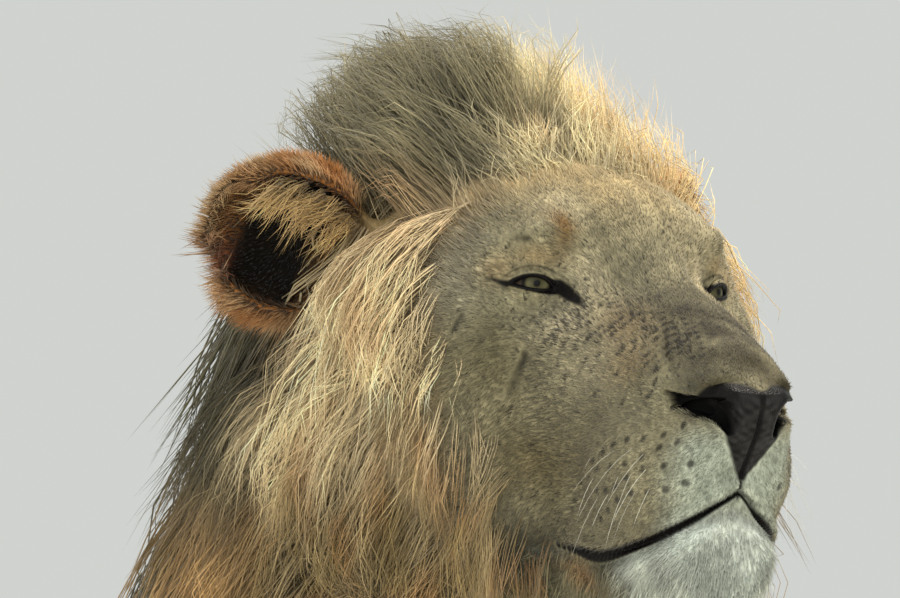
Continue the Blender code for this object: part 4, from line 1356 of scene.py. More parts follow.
# %% Roots spread over the skin
skin.data.calc_loop_triangles()
corners = np.empty(3 * len(skin.data.loop_triangles), np.int32)
skin.data.loop_triangles.foreach_get("vertices", corners)
corners = corners.reshape(-1, 3)
skin_places, skin_normals = places_of(skin), normals_of(skin)
tri_middle = skin_places[corners].mean(1)
one_edge, other_edge = (skin_places[corners[:, k]] - skin_places[corners[:, 0]] for k in (1, 2))
tri_area = np.linalg.norm(np.cross(one_edge, other_edge), axis=1) / 2
tri_head = to_head(tri_middle)
tri_x, tri_y, tri_z = tri_middle.T
head_x, head_y, head_z = tri_head.T
off_ears = 1 - ear_shares(tri_head)[0]
tri_marks = skin_marks[corners].mean(1)


def roots_on_skin(density, count):
    """Even random roots: equal steps along the running total of area times density, one draw in each."""
    total = np.cumsum(tri_area * density)
    picks = np.searchsorted(total, (np.arange(count) + rng.random(count)) / count * total[-1])
    picks = np.minimum(picks, len(total) - 1)
    a, b = rng.random((2, count))
    over = a + b > 1
    a, b = np.where(over, 1 - a, a), np.where(over, 1 - b, b)
    share = np.stack((1 - a - b, a, b), 1)[..., None]
    return (skin_places[corners[picks]] * share).sum(1), unit((skin_normals[corners[picks]] * share).sum(1))


print("skin area:", tri_area.sum().round(2), "square metres")

# %% [markdown]
# ## The short coat
#
# Short fur has a direction: it runs back from the nose over the whole face, up over the brow, back
# and down along the flanks, and straight down the legs. A lie field gives that direction
# anywhere. Tufts rise 13 to 26 degrees from the skin on the face and 5 to 10 on the body, are
# shortest round the nose and eyes, and leave the lids, the lips and the nose bare.

# %% The lie and the length of the coat
NOSE_TIP = np.array((0, -0.165, -0.095))
HEAD_REAR, HEAD_FOOT, HEAD_HALF_WIDTH = 0.16, -0.26, 0.17
SHORTEST = 0.0028
ABOVE_FLOOR = 0.0025


def on_surface(directions, normals):
    """The part of a direction that runs along the surface, as a unit vector."""
    return unit(directions - normals * (directions * normals).sum(1, keepdims=True))


def lie(points, normals):
    """The direction the short coat runs: away from the nose on the head, back and down on the body."""
    head = to_head(points)
    folded = mirrored(head)
    face = unit(head - NOSE_TIP)
    droop = fade(0.05, 0.1, folded[:, 0]) * fade(0.02, -0.08, head[:, 2])
    face[:, 2] -= 0.9 * droop
    rise = fade(0.03, 0.09, head[:, 2])
    face[:, 2] += 0.5 * rise
    face = face @ TURN.T
    x, y, z = points.T
    leg = fade(0.74, 0.58, z) * fade(0.035, 0.07, np.abs(x))
    body = np.stack((0 * x, 1 - 0.9 * leg, -0.3 - leg), 1)
    tail = fade(0.8, 0.86, y)[:, None]
    body = body * (1 - tail) + np.array((0.0, 0.3, -1.0)) * tail
    share = fade(HEAD_REAR, 0.08, head[:, 1]) * (head[:, 2] > HEAD_FOOT) * (folded[:, 0] < HEAD_HALF_WIDTH)
    return on_surface(face * share[:, None] + body * (1 - share[:, None]), normals)


def short_length(points):
    """Length of the short coat: 3 mm at the nose, 5 on the cheek, 18 by the mane, 22 on the trunk, 6 on paws.

    It is longer under the chin and inside the legs, and shorter round the eyes and on the scars."""
    p = mirrored(to_head(points))
    face = 0.003 + 0.0022 * fade(-0.14, -0.03, p[:, 1]) + 0.013 * fade(0.005, 0.09, p[:, 1])
    face += 0.008 * fade(-0.15, -0.185, p[:, 2]) * fade(-0.04, -0.08, p[:, 1])
    eye = np.linalg.norm(p - eye_axes()[0], axis=1)
    face -= 0.002 * fade(0.045, 0.022, eye)
    face *= 1 - 0.5 * scar_share(to_head(points), 0.005)
    z = points[:, 2]
    body = 0.006 + 0.01 * fade(0.1, 0.6, z) + 0.006 * fade(0.55, 0.8, z)
    body += 0.01 * fade(0.74, 0.6, z) * fade(0.1, 0.04, np.abs(points[:, 0]))
    share = fade(HEAD_REAR, 0.1, p[:, 1]) * (p[:, 2] > HEAD_FOOT) * (p[:, 0] < HEAD_HALF_WIDTH)
    return np.maximum(body + (face - body) * share, SHORTEST)


print("lengths between the eyes and on the back:", short_length(np.array([EYE_MIDDLE, (0, 0, 1.0)])))

# %% Spikes from random roots
def spikes(roots, normals, heading, lift, length):
    """Straight paths from just under the skin to root + length·(heading·cos lift + normal·sin lift)."""
    angle = np.radians(rng.uniform(*lift, len(roots)))[:, None]
    tips = roots + (heading * np.cos(angle) + normals * np.sin(angle)) * length[:, None]
    return np.stack((roots - normals * SUNK, tips), 1)


def short_coat(name, density, count, thickness, axis, lift=(13, 26), root_shade=0.62, ruffle=0.16,
               tones=0.13):
    """Spikes from random roots along the lie, ruffled a little, each with its own length and tone."""
    roots, normals = roots_on_skin(density, count)
    length = short_length(roots) * rng.uniform(0.75, 1.25, count)
    swirl = np.stack([waves(roots, 0.05, seed) for seed in (1, 2, 3)], 1)
    heading = lie(roots, normals) + rng.normal(0, ruffle, (count, 3)) + 0.8 * ruffle * swirl
    heading = on_surface(heading, normals)
    paths = spikes(roots, normals, heading, lift, length)
    middle = (roots + paths[:, 1]) / 2
    paths[:, :, 2] = np.maximum(paths[:, :, 2], ABOVE_FLOOR)
    colour = coat_colour(middle)
    dark = all_marks(middle)[:, None]
    colour = colour + (BLACK * 1.5 - colour) * dark
    tone = np.exp(rng.normal(0, tones, (count, 1))) * (1 + 0.75 * tones * waves(roots, 0.02, 5)[:, None])
    # Each tuft is darker at the root, as painted shade deep in the coat, and lighter at the tip.
    shade = np.stack((colour * tone * root_shade, colour * tone * 1.12), 1)
    radius = np.minimum(thickness, length * 0.12)[:, None] * rng.uniform(0.8, 1.2, (count, 1))
    thing = tuft_mesh(name, paths, radius, normals, shade, unwrapped(roots, *axis))
    print(name, "tufts:", count)
    return thing


# %% [markdown]
# ## How hair is finished
#
# Hair is darker toward the root, as painted shade deep in the coat, and lighter at the tip. It is
# rough, with a faint silky sheen. The stored colour of each tuft carries the marking, and fine noise
# along the tuft keeps neighbours from looking alike.

# %% Finish of the coat
def hair_material(name, roughness, sheen):
    """Stored colour times two scales of noise, rough, with a constant sheen."""
    material, tree, shader = new_material(name, roughness, 0.25)
    colour = node(tree, "Attribute", attribute_name="Coat")
    fine = noise(tree, 520, 2.0)
    broad = noise(tree, 24, 3.0)
    toned = times(tree, colour.outputs["Color"], in_range(tree, fine, 0.3, 0.7, 0.82, 1.18))
    toned = times(tree, toned, in_range(tree, broad, 0.3, 0.7, 0.86, 1.14))
    tree.links.new(toned, shader.inputs["Base Color"])
    shader.inputs["Sheen Weight"].default_value = sheen
    shader.inputs["Sheen Roughness"].default_value = 0.4
    add_bump(tree, shader, ((fine, 0.3),), 0.0003)
    return material


SHORT_HAIR = hair_material("short_hair", 0.72, 0.1)
LONG_HAIR = hair_material("long_hair", 0.58, 0.18)


def dress(thing, material):
    """Finishes a coat piece and hangs it on the one body."""
    thing.data.materials.append(material)
    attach(thing, "root")


# %% The face's coat, left and right
# The spots of the whisker pads are marks too, but they are hair, so the coat grows over them.
face_share = fade(0.15, 0.1, head_y + 0.2 * np.abs(head_x)) * (head_z > -0.24)
face_share = face_share * (np.abs(head_x) < 0.135)
on_pads = (head_y > -0.11) & (head_z < -0.095) & (head_z > -0.145)
furred = fade(0.55, 0.25, tri_marks * (1 - 0.9 * on_pads))
density = face_share * furred * off_ears * (1 + 0.9 * fade(0.02, -0.1, head_y))
HEAD_AXIS = (to_world((0, -0.2, -0.05)), to_world((0, 0.3, -0.05)))
for side, name, count in ((1, "left", 22000), (-1, "right", 48000)):
    half = density * (np.sign(head_x) == side)
    thing = short_coat("face_coat_" + name, half, count, thickness=0.00042, axis=HEAD_AXIS)
    dress(thing, SHORT_HAIR)

# %% The body's coat
in_mane = fade(-0.36, -0.46, tri_y) * fade(0.62, 0.72, tri_z)
near_paw = 1 + 1.2 * fade(0.14, 0.05, tri_z)
density = (1 - face_share) * (1 - 0.97 * in_mane) * off_ears * near_paw * (tri_z > 0.012)
BODY_AXIS = ((0, -1.1, 0.7), (0, 1.1, 0.7))
for side, name in ((1, "left"), (-1, "right")):
    half = density * (np.sign(tri_x - 0.0001) == side)
    thing = short_coat("body_coat_" + name, half, count=23000, thickness=0.00145, axis=BODY_AXIS,
                       lift=(5, 10), root_shade=0.95, ruffle=0.06, tones=0.06)
    dress(thing, SHORT_HAIR)

# %% [markdown]
# ## The mane
#
# A mane is long hair in locks. It rises from the skin, reaches the outline of the mane and falls
# under its own weight, and the crest between the ears stands up and leans back. So each lock has
# one guide, which is stepped forward in small moves: along its flow, then outward until it lies
# on its own layer of the mane's outline. Every lock is then filled with fine strands that run
# side by side and close up toward the tip, as real locks do.

# %% The outline that the mane fills
def outline(stations, place, steps=10):
    """The rings of a loft kept as numbers: middles, directions and reaches, moved to the model's frame."""
    rows = smooth_rows(stations, steps)
    middle = place(rows[:, :3])
    along = unit(np.gradient(middle, axis=0))
    aside = place(np.array([[1.0, 0, 0]])) - place(np.zeros((1, 3)))
    across = unit(aside - along * (along * aside).sum(1, keepdims=True))
    return middle, along, across, np.cross(along, across), rows[:, 3:]


def on_layer(points, ring, lowest, highest):
    """Moves points out to the lowest layer or in to the highest, a layer being the share of the outline.

    A point's share is the length of (aside / half width, height / reach) in the plane of its ring."""
    middle, along, across, front, reach = ring
    away = points[:, None] - middle[None]
    ahead = np.abs((away * along).sum(2))
    pick = (ahead + 0.15 * np.linalg.norm(away, axis=2)).argmin(1)
    here = np.arange(len(points))
    off = away[here, pick]
    a, b = (off * across[pick]).sum(1), (off * front[pick]).sum(1)
    tall = np.where(b > 0, reach[pick, 1], reach[pick, 2])
    share = np.maximum(np.hypot(a / reach[pick, 0], b / tall), 0.05)
    wanted = np.clip(share, lowest, highest)
    change = np.where(ahead[here, pick] < 0.03, wanted / share - 1, 0)
    return points + (across[pick] * a[:, None] + front[pick] * b[:, None]) * change[:, None]


HEAD_MANE = [
    (0, 0.33, -0.11, 0.176, 0.215, 0.23), (0, 0.27, -0.07, 0.174, 0.232, 0.21),
    (0, 0.21, -0.05, 0.171, 0.23, 0.195), (-0.005, 0.15, -0.045, 0.163, 0.222, 0.18),
    (-0.003, 0.1, -0.042, 0.142, 0.196, 0.178), (0, 0.055, -0.04, 0.117, 0.15, 0.172),
    (0, 0.025, -0.04, 0.098, 0.112, 0.16),
]
head_ring = outline(HEAD_MANE, to_world)
neck_ring = outline(NECK, lambda rows: rows + BODY_SHIFT)
print("rings of the mane's outline:", len(head_ring[0]) + len(neck_ring[0]))

# %% Guides and strands
MOVES = 14
EASING = 8
GUIDE_ROOT = 0.004
FINE_STEPS = (0, 0.1, 0.25, 0.45, 0.7, 1.0)


def drift_field(points, size, seed):
    """A soft random direction for every place: three sets of waves, one for each axis."""
    return np.stack([waves(points, size, seed + k) for k in range(3)], 1)


def drawn_guides(roots, normals, length, flow, lift, layer=0, weight=0.5, rings=(head_ring, neck_ring),
                 rise=0.38):
    """Steps each guide along unit(lift·normal·(1-t)² + flow + weight·t·down), held on its own layer.

    Lift and layer are one number for all or one for each guide. The path is then eased: each place
    becomes a quarter of both neighbours and half of itself."""
    lift, layer = (np.broadcast_to(value, len(roots)) for value in (lift, layer))
    place = roots - normals * GUIDE_ROOT
    kept = [place]
    heading = unit(normals * (0.25 + 0.6 * lift)[:, None] + unit(flow))
    for move in range(MOVES):
        t = (move + 1) / MOVES
        wish = normals * (lift * (1 - t) ** 2)[:, None] + flow + np.array((0, 0, -weight * t))
        heading = unit(heading * 0.45 + unit(wish))
        place = place + heading * (length / MOVES)[:, None]
        for ring in rings:
            place = on_layer(place, ring, layer * fade(0, rise, t), np.maximum(1.0, layer))
        kept.append(place)
    path = np.stack(kept, 1)
    for _ in range(EASING):
        path[:, 1:-1] = (path[:, :-2] + 2 * path[:, 1:-1] + path[:, 2:]) / 4
    return path


def filled_locks(guides, normals, each, spread, close, wander, curl, steps):
    """Strands about each guide: guide + offset·(1 - close·t) + a drift that grows with t, cut to length."""
    count, moves, _ = guides.shape
    t = np.array(steps)[None, None, :, None]
    along = unit(guides[:, -1] - guides[:, 0])
    side = unit(np.cross(along, normals + 1e-4))
    out = np.cross(side, along)
    angle = rng.uniform(0, 2 * np.pi, (count, each, 1, 1))
    far = spread * np.sqrt(rng.random((count, each, 1, 1)))
    offset = (side[:, None, None] * np.cos(angle) + out[:, None, None] * np.sin(angle) * 0.6) * far
    drift = rng.normal(0, wander, (count, each, 1, 3))
    curl_way = rng.normal(0, 1, (count, 1, 1, 3)) + rng.normal(0, 0.35, (count, each, 1, 3))
    bend = curl * np.sin(t * rng.uniform(3, 7, (count, 1, 1, 1)) + rng.uniform(0, 6.3, (count, 1, 1, 1))) * t
    at = t[..., 0] * rng.uniform(0.7, 1.05, (count, each, 1)) * (moves - 1)
    low = np.clip(np.floor(at).astype(int), 0, moves - 2)
    share = (at - low)[..., None]
    lane = np.arange(count)[:, None, None]
    shape = guides[lane, low] * (1 - share) + guides[lane, low + 1] * share
    closing = rng.uniform(0.3, 1.0, (count, 1, 1, 1)) * close
    strands = shape + offset * (1 - closing * t) + drift * t**1.5 + curl_way * bend
    return strands.reshape(count * each, len(steps), 3)


def clear_of_ears(strands):
    """True for strands that stay out of the ears' cups."""
    shares, _, local = ear_shares(to_head(strands[:, 1:].reshape(-1, 3)))
    inside = (shares > 0.5) & (local[:, 2] > 0.03)
    return ~inside.reshape(len(strands), -1).any(1)


def mane_piece(name, guides, normals, each, spread, thickness, close=0.8, wander=0.003, curl=0.004,
               colour=None, tones=0.1, root_shade=0.55, past_ears=False,
               steps=(0, 0.13, 0.34, 0.64, 1.0), thick_and_thin=0.18):
    """Fills the guides with strands, thins them toward the tip and colours every step by its place."""
    strands = filled_locks(guides, normals, each, spread, close, wander, curl, steps)
    lock = np.repeat(np.arange(len(guides)), each)
    if not past_ears:
        kept = clear_of_ears(strands)
        strands, lock = strands[kept], lock[kept]
    count = len(strands)
    t = np.array(steps)
    radius = thickness * np.exp(rng.normal(-0.06, thick_and_thin, (count, 1))) * (1 - 0.55 * t[:-1] ** 1.5)
    tint = (colour or mane_colour)(strands.reshape(-1, 3)).reshape(count, len(steps), 3)
    tone = np.exp(rng.normal(0, tones, (len(guides), 1, 1)))[lock]
    tone = tone * np.exp(rng.normal(0, 0.13, (count, 1, 1)))
    tone = tone * (1 + 0.16 * waves(strands[:, 0], 0.03, 8))[:, None, None]
    # Strands darken toward the root, by root_shade, as painted shade inside the locks, and lighten a little
    # at the tip.
    tint = tint * tone * (root_shade + (1.1 - root_shade) * fade(0.0, 0.7, t))[None, :, None]
    facing = normals[lock] + rng.normal(0, 0.3, (count, 3))
    spots = unwrapped(strands[:, 0], *HEAD_AXIS)
    thing = tuft_mesh(name, strands, radius, facing, np.clip(tint, 0.002, 1), spots)
    dress(thing, LONG_HAIR)
    print(name, "strands:", count, "triangles:", len(thing.data.polygons))
    return thing


# %% Colours of the mane
GOLD_LIT, OLIVE = linear(252, 228, 182), linear(140, 120, 80)
CREST_GREY, CREST_CREAM_LIT, FAR_GOLD_LIT = linear(122, 114, 86), linear(240, 222, 172), linear(236, 204, 146)
NECK_DARK, NECK_GREY, CHEST_TAN = linear(64, 58, 42), linear(104, 100, 76), linear(206, 164, 108)
RUST_HAIR = linear(168, 118, 68)


def mane_colour(points):
    """Gold by the cheek, olive below it, grey at the crest with cream ends, dark and grey down the neck, with
    painted sunlight on the top of the cheek mane, the crest's far edge, the far mane and one tan patch.
    """
    p = to_head(points)
    x, y, z = p.T
    aside = np.abs(x)
    patchy = waves(points, 0.1, 21)
    streaks = waves(p * (1, 1, 0.35), 0.03, 23)
    colour = tiled(NECK_DARK, p)
    colour = blend(colour, NECK_GREY, 0.3 + 0.3 * patchy)
    chest = fade(-0.1, -0.2, z) * fade(0.12, 0.19, aside) + fade(-0.3, -0.44, z)
    colour = blend(colour, CHEST_TAN, chest * (0.78 + 0.2 * waves(points, 0.12, 22)))
    # A tan patch low on the near side: tan hair brightened as painted sunlight.
    colour = blend(colour, CHEST_TAN, 0.8 * spot(p, (-0.17, 0.29, -0.23), (0.07, 0.08, 0.07)))
    cheek = fade(0.25, 0.17, y) * fade(-0.4, -0.24, z)
    # The cheek mane is gold above and olive below: partly its own colour, partly painted sunlight on its
    # upper part.
    lit_gold_share = fade(-0.15, -0.085, z) * (0.85 + 0.25 * streaks)
    gold = blend(tiled(OLIVE, p), GOLD_LIT, lit_gold_share + 0.22 * streaks)
    gold = blend(gold, RUST_HAIR, 0.45 * fade(0.1, 0.7, waves(p * (1, 1, 0.35), 0.035, 24)))
    colour += (gold - colour) * cheek[:, None]
    crest = fade(0.035, 0.085, z)
    # Cream hair ends on the crest's far and front edge, brightened as painted sunlight on its rim.
    cream = fade(-0.045, 0.02, x - 0.25 * (y - 0.12)) * fade(0.09, 0.14, z)
    cream = np.maximum(cream, fade(0.13, 0.085, y) * fade(-0.075, -0.03, x) * 0.8)
    grey = blend(tiled(CREST_GREY, p), CREST_CREAM_LIT, cream * (0.8 + 0.2 * streaks) + 0.15 * streaks)
    colour += (grey - colour) * crest[:, None]
    # The far side of the mane is brightened to gold as painted sunlight.
    far = fade(0.02, 0.06, x) * fade(-0.1, 0.0, z) * fade(0.28, 0.18, y)
    colour = blend(colour, FAR_GOLD_LIT, 0.9 * far)
    return blend(colour, RUST_HAIR, 0.75 * spot(p, (-0.12, 0.115, 0.055), (0.03, 0.045, 0.025)))


# %% [markdown]
# ## The cheek mane, the crest and the neck
#
# The cheek mane fans down from the base of the ear over the jaw. The crest starts at the hairline
# above the brow. Behind both, the neck mane lies over the shoulders and the chest in
# heavier, darker locks.

# %% Cheek mane
def zone(density, count):
    """Roots, normals and head-frame places of one zone of long hair."""
    roots, normals = roots_on_skin(density, count)
    return roots, normals, to_head(roots)


def world_way(directions):
    """Head-frame directions turned into the model's frame."""
    return np.asarray(directions, float) @ TURN.T


def behind_face(jaw_share, jaw_top, jaw_foot):
    """How far each triangle lies behind the face: back - 0.12·aside, and more of it down the cheek."""
    lower_cheek = 0.034 * fade(0.035, -0.045, head_z) + jaw_share * fade(jaw_top, jaw_foot, head_z)
    return head_y - 0.12 * np.abs(head_x) + lower_cheek


from_face = fade(0.046, 0.07, behind_face(0.008, -0.06, -0.12)) * fade(0.27, 0.23, head_y)
at_ear_root = fade(0.13, 0.15, head_y) * fade(-0.02, 0.0, head_z)
under_ear = fade(0.07, 0.03, head_z) * (1 - at_ear_root)
for side, name, locks in ((1, "left", 310), (-1, "right", 500)):
    same_side = (head_x * side > 0.02) * off_ears
    density = same_side * from_face * under_ear * fade(-0.3, -0.24, head_z)
    roots, normals, p = zone(density, locks)
    back_share = fade(0.05, 0.25, p[:, 1])[:, None]
    raised = fade(-0.03, 0.04, p[:, 2])[:, None]
    front_way, back_way = np.array((side * 0.22, 0.02, -1.0)), np.array((side * 0.3, 0.5, -0.8))
    raised_way = np.array((side * (0.55 + 0.35 * side), 0.05, 0.45 + 0.3 * side))
    flow = front_way * (1 - back_share) + back_way * back_share
    flow = world_way(flow + raised * (1 - back_share) * raised_way)
    flow += 0.26 * drift_field(roots, 0.06, 51) + rng.normal(0, 0.07, flow.shape)
    grown = fade(0.01, 0.095, p[:, 1] + 0.3 * np.clip(-0.02 - p[:, 2], 0, 0.09))
    length = rng.uniform(0.13, 0.185, len(roots)) * (0.42 + 0.58 * grown)
    length = length * (1 - 0.3 * raised[:, 0] * (side > 0))
    layer = rng.uniform(0.8, 1.0, len(roots)) * (0.3 + 0.7 * fade(0.05, 0.1, p[:, 1]))
    guides = drawn_guides(roots, normals, length, flow, lift=0.25 + 0.9 * grown, layer=layer)
    mane_piece("cheek_mane_" + name, guides, normals, each=14, spread=0.014, thickness=0.00036,
               wander=0.007, curl=0.009, tones=0.15, root_shade=0.78, steps=FINE_STEPS, thick_and_thin=0.3)

# %% The cheek mane's front edge
# Short locks lie close to the cheek here, so that the long ones do not start along a line.
from_edge = behind_face(0.03, -0.05, -0.11)
for side, name, locks in ((1, "left", 70), (-1, "right", 130)):
    density = fade(0.036, 0.07, from_edge) * fade(0.115, 0.09, from_edge) * (head_x * side > 0.02)
    density = density * fade(0.03, 0.005, head_z) * fade(-0.185, -0.15, head_z) * off_ears
    roots, normals, p = zone(density, locks)
    flow = world_way(tiled((side * 0.15, 0.14, -1.0), roots))
    flow = on_surface(flow + 0.22 * drift_field(roots, 0.05, 57), normals) + rng.normal(0, 0.07, flow.shape)
    length = rng.uniform(0.04, 0.075, len(roots)) * (0.7 + 0.5 * fade(0.0, -0.08, p[:, 2]))
    guides = drawn_guides(roots, normals, length, flow, lift=0.1, weight=0.3, rings=())
    mane_piece("cheek_edge_" + name, guides, normals, each=12, spread=0.0075, thickness=0.00032,
               wander=0.004, curl=0.005, tones=0.15, root_shade=0.6, thick_and_thin=0.3)

# %% Crest
density = fade(0.038, 0.075, head_z - 0.1 * fade(0.05, 0.0, head_y)) * fade(0.012, 0.05, head_y)
density = density * fade(0.34, 0.3, head_y) * (np.abs(head_x) < 0.13) * off_ears
roots, normals, p = zone(density, 490)
side_share = np.clip(p[:, 0] / 0.1, -1, 1)[:, None]
stand = fade(0.02, 0.1, p[:, 1])[:, None]
back_and_up, outward, less_up = (0.0, 0.5, 0.8), (0.5, 0, 0), (0, -0.35, 0.25)
flow = world_way(np.array(back_and_up) + side_share * np.array(outward) - (1 - stand) * np.array(less_up))
flow += 0.34 * drift_field(roots, 0.075, 61) + rng.normal(0, 0.11, flow.shape)
length = (0.028 + 0.1 * fade(0.01, 0.12, p[:, 1])) * rng.uniform(0.75, 1.12, len(roots))
length *= 1 - 0.35 * fade(-0.045, -0.085, p[:, 0]) * fade(0.12, 0.2, p[:, 1])
guides = drawn_guides(roots, normals, length, flow, lift=0.2 + 0.6 * stand[:, 0], weight=0.1)
mane_piece("crest", guides, normals, each=14, spread=0.014, thickness=0.00032, close=0.5, wander=0.007,
           curl=0.008, tones=0.14, root_shade=0.62, steps=FINE_STEPS, thick_and_thin=0.3)

# %% Neck mane
behind = np.maximum(fade(0.12, 0.2, head_y), fade(-0.22, -0.28, head_z))
shoulder_edge = tri_y + 0.35 * np.clip(0.9 - tri_z, 0, 0.4)
density = fade(-0.16, -0.3, shoulder_edge) * fade(0.56, 0.66, tri_z) * behind * off_ears
for side, name, locks, each in ((1, "left", 480, 12), (-1, "right", 600, 15)):
    roots, normals = roots_on_skin(density * (tri_x * side > -0.01), locks)
    flow = np.array((side * 0.15, 0.5, -0.8)) + 0.25 * drift_field(roots, 0.16, 71)
    flow += rng.normal(0, 0.06, flow.shape)
    length = rng.uniform(0.16, 0.25, len(roots)) * (0.6 + 0.4 * fade(-0.2, -0.36, roots[:, 1]))
    layer = rng.uniform(0.45, 0.96, len(roots))
    guides = drawn_guides(roots, normals, length, flow, lift=0.8, layer=layer, rise=0.85)
    mane_piece("neck_mane_" + name, guides, normals, each, spread=0.022, thickness=0.00085, wander=0.006,
               curl=0.01, tones=0.18, root_shade=0.62, thick_and_thin=0.3)

# %% [markdown]
# ## Ears, chin and whiskers
#
# A lion's ear is a thick furred cup. Dense rust fur covers its back and rolls over the rim, blond
# tufts hang from the upper edge across the dark hollow, and the hollow is nearly bare. The chin
# carries a short pale beard, and pale whiskers stand in rows on the muzzle.

# %% The ears' coat
EAR_HAIR = 0.00062
EAR_BLOND = linear(206, 172, 116)


def ear_coat(side, name, count):
    """Spikes that run up the ear, outward and over the rim, lifted 16 to 34 degrees, short in the hollow."""
    shares, hollows, _ = ear_shares(tri_head)
    weight = shares * (head_x * side > 0) * (1 - 0.75 * hollows) * (1 - 0.9 * tear_share(tri_head))
    roots, normals = roots_on_skin(weight, count)
    turn, root = ear_place(side)
    _, hollow, local = ear_shares(to_head(roots))
    outward = local * (1, 0, 1) - np.array((0, 0, 0.045))
    way = unit(outward) * 0.8 + np.array((0, -0.35, 0.55))
    way = on_surface(way @ turn.T @ TURN.T + 0.25 * drift_field(roots, 0.02, 81), normals)
    lower_edge = fade(0.01, 0.03, side * local[:, 0])
    length = (0.013 - 0.006 * hollow + 0.009 * lower_edge * (1 - hollow)) * rng.uniform(0.7, 1.3, count)
    paths = spikes(roots, normals, way, (16, 34), length)
    colour = blend(coat_colour(roots), GOLD_LIT, 0.16 * (1 - hollow) * (1 + waves(roots, 0.03, 83)))
    tone = np.exp(rng.normal(0, 0.2, (count, 1)))
    # Ear hair is darker at the root, as painted shade deep in the fur.
    shade = np.clip(np.stack((colour * tone * 0.55, colour * tone * 1.2), 1), 0.002, 1)
    radius = EAR_HAIR * rng.uniform(0.8, 1.2, (count, 1))
    axis = (to_world(root), to_world(root + turn[:, 2] * 0.1))
    dress(tuft_mesh(name, paths, radius, normals, shade, unwrapped(roots, *axis)), SHORT_HAIR)


def ear_tufts(side, name, locks, each):
    """Blond locks from the upper inner edge, out along the ear and down over the hollow, forward of it."""
    turn, root = ear_place(side)
    along = rng.uniform(0.012, 0.07, locks)
    upper = 0.04 * ear_outline(along, 0.2) * rng.uniform(0.75, 1.0, locks)
    forward = -0.012 - 0.006 * rng.random(locks)
    starts = np.stack((-side * upper, forward, along), 1)
    across = side * rng.uniform(0.15, 1.0, locks)
    way = np.stack((across, rng.uniform(-0.45, -0.1, locks), rng.uniform(0.4, 1.1, locks)), 1)
    roots, flow = to_world(starts @ turn.T + root), unit(way) @ turn.T @ TURN.T
    normals = np.tile(-turn[:, 1] @ TURN.T, (locks, 1))
    length = rng.uniform(0.02, 0.044, locks)
    guides = drawn_guides(roots, normals, length, flow, lift=0, weight=0.9, rings=())
    mane_piece(name, guides, normals, each, spread=0.005, thickness=0.00034, close=0.6, wander=0.005,
               curl=0.004, colour=lambda places: tiled(EAR_BLOND, places), tones=0.3,
               past_ears=True)


for side, name, count, locks in ((1, "left", 5200, 30), (-1, "right", 8200, 42)):
    ear_coat(side, "ear_coat_" + name, count)
    ear_tufts(side, "ear_tufts_" + name, locks, 9)

# %% The chin's beard
BEARD_PALE, BEARD_RUST, BEARD_OLIVE = linear(216, 220, 206), linear(198, 140, 80), linear(126, 120, 92)


def beard_colour(points):
    """Nearly white at the chin, the jaw's olive behind it, with one rust tuft under each mouth corner."""
    p = mirrored(to_head(points))
    colour = blend(tiled(BEARD_OLIVE, p), BEARD_PALE, fade(-0.045, -0.085, p[:, 1]))
    return blend(colour, BEARD_RUST, 0.4 * spot(p, (0.041, -0.02, -0.182), (0.014, 0.012, 0.012)))


under_lip = fade(-0.16, -0.175, head_z + 0.25 * np.clip(-0.1 - head_y, 0, 1))
under_lip = under_lip * fade(0.04, -0.02, head_y)
density = under_lip * fade(-0.25, -0.22, head_z) * (1 - tri_marks)
roots, normals, p = zone(density, 190)
flow = world_way(np.array((0.0, 0.42, -0.85)) + p * (3.0, 0, 0)) + 0.2 * drift_field(roots, 0.04, 91)
length = 0.014 + 0.016 * fade(-0.165, -0.2, p[:, 2]) * rng.uniform(0.7, 1.2, len(roots))
guides = drawn_guides(roots, normals, length, flow, lift=0.35, weight=0.4, rings=())
mane_piece("beard", guides, normals, each=12, spread=0.009, thickness=0.00036, close=0.6, wander=0.002,
           curl=0.002, colour=beard_colour, root_shade=0.7, steps=(0, 0.25, 0.6, 1.0))

# %% Whiskers
WHISKER_WHITE = linear(226, 222, 206)
row, along = numbered_grid(3, 5)
for side, name in ((1, "left"), (-1, "right")):
    wished = np.stack((side * 0.052 + 0 * row, -0.122 + 0.0125 * along, -0.104 - 0.012 * row), 1)
    nearest = np.linalg.norm(to_head(skin_places)[None] - wished[:, None], axis=2).argmin(1)
    roots, normals = skin_places[nearest], skin_normals[nearest]
    flow = world_way(np.stack((side * (0.75 - 0.1 * along), 0.35 + 0.1 * along, -0.75 - 0.16 * row), 1))
    flow += rng.normal(0, 0.2, flow.shape)
    length = rng.uniform(0.022, 0.06, len(roots))
    guides = drawn_guides(roots, normals, length, flow, lift=0.3, weight=1.2, rings=())
    mane_piece("whiskers_" + name, guides, normals, each=1, spread=0, thickness=0.00019, close=0, wander=0,
               curl=0, colour=lambda places: tiled(WHISKER_WHITE, places), tones=0, root_shade=0.9,
               steps=(0, 0.15, 0.35, 0.55, 0.78, 1.0))

# %% [markdown]
# ## Tail, belly and elbows
#
# The tail ends in a dark brush. Longer hair also hangs at the elbows and along the belly behind
# them, and thins out toward the flank.

# %% Tail tuft and fringe
BRUSH_DARK, BRUSH_ROOT, FRINGE_TAN = linear(48, 40, 30), linear(120, 96, 64), linear(158, 130, 88)


def tail_colour(points):
    """Black-brown, a little lighter at the root of the brush."""
    return blend(tiled(BRUSH_DARK, points), BRUSH_ROOT, fade(0.34, 0.42, points[:, 2]))


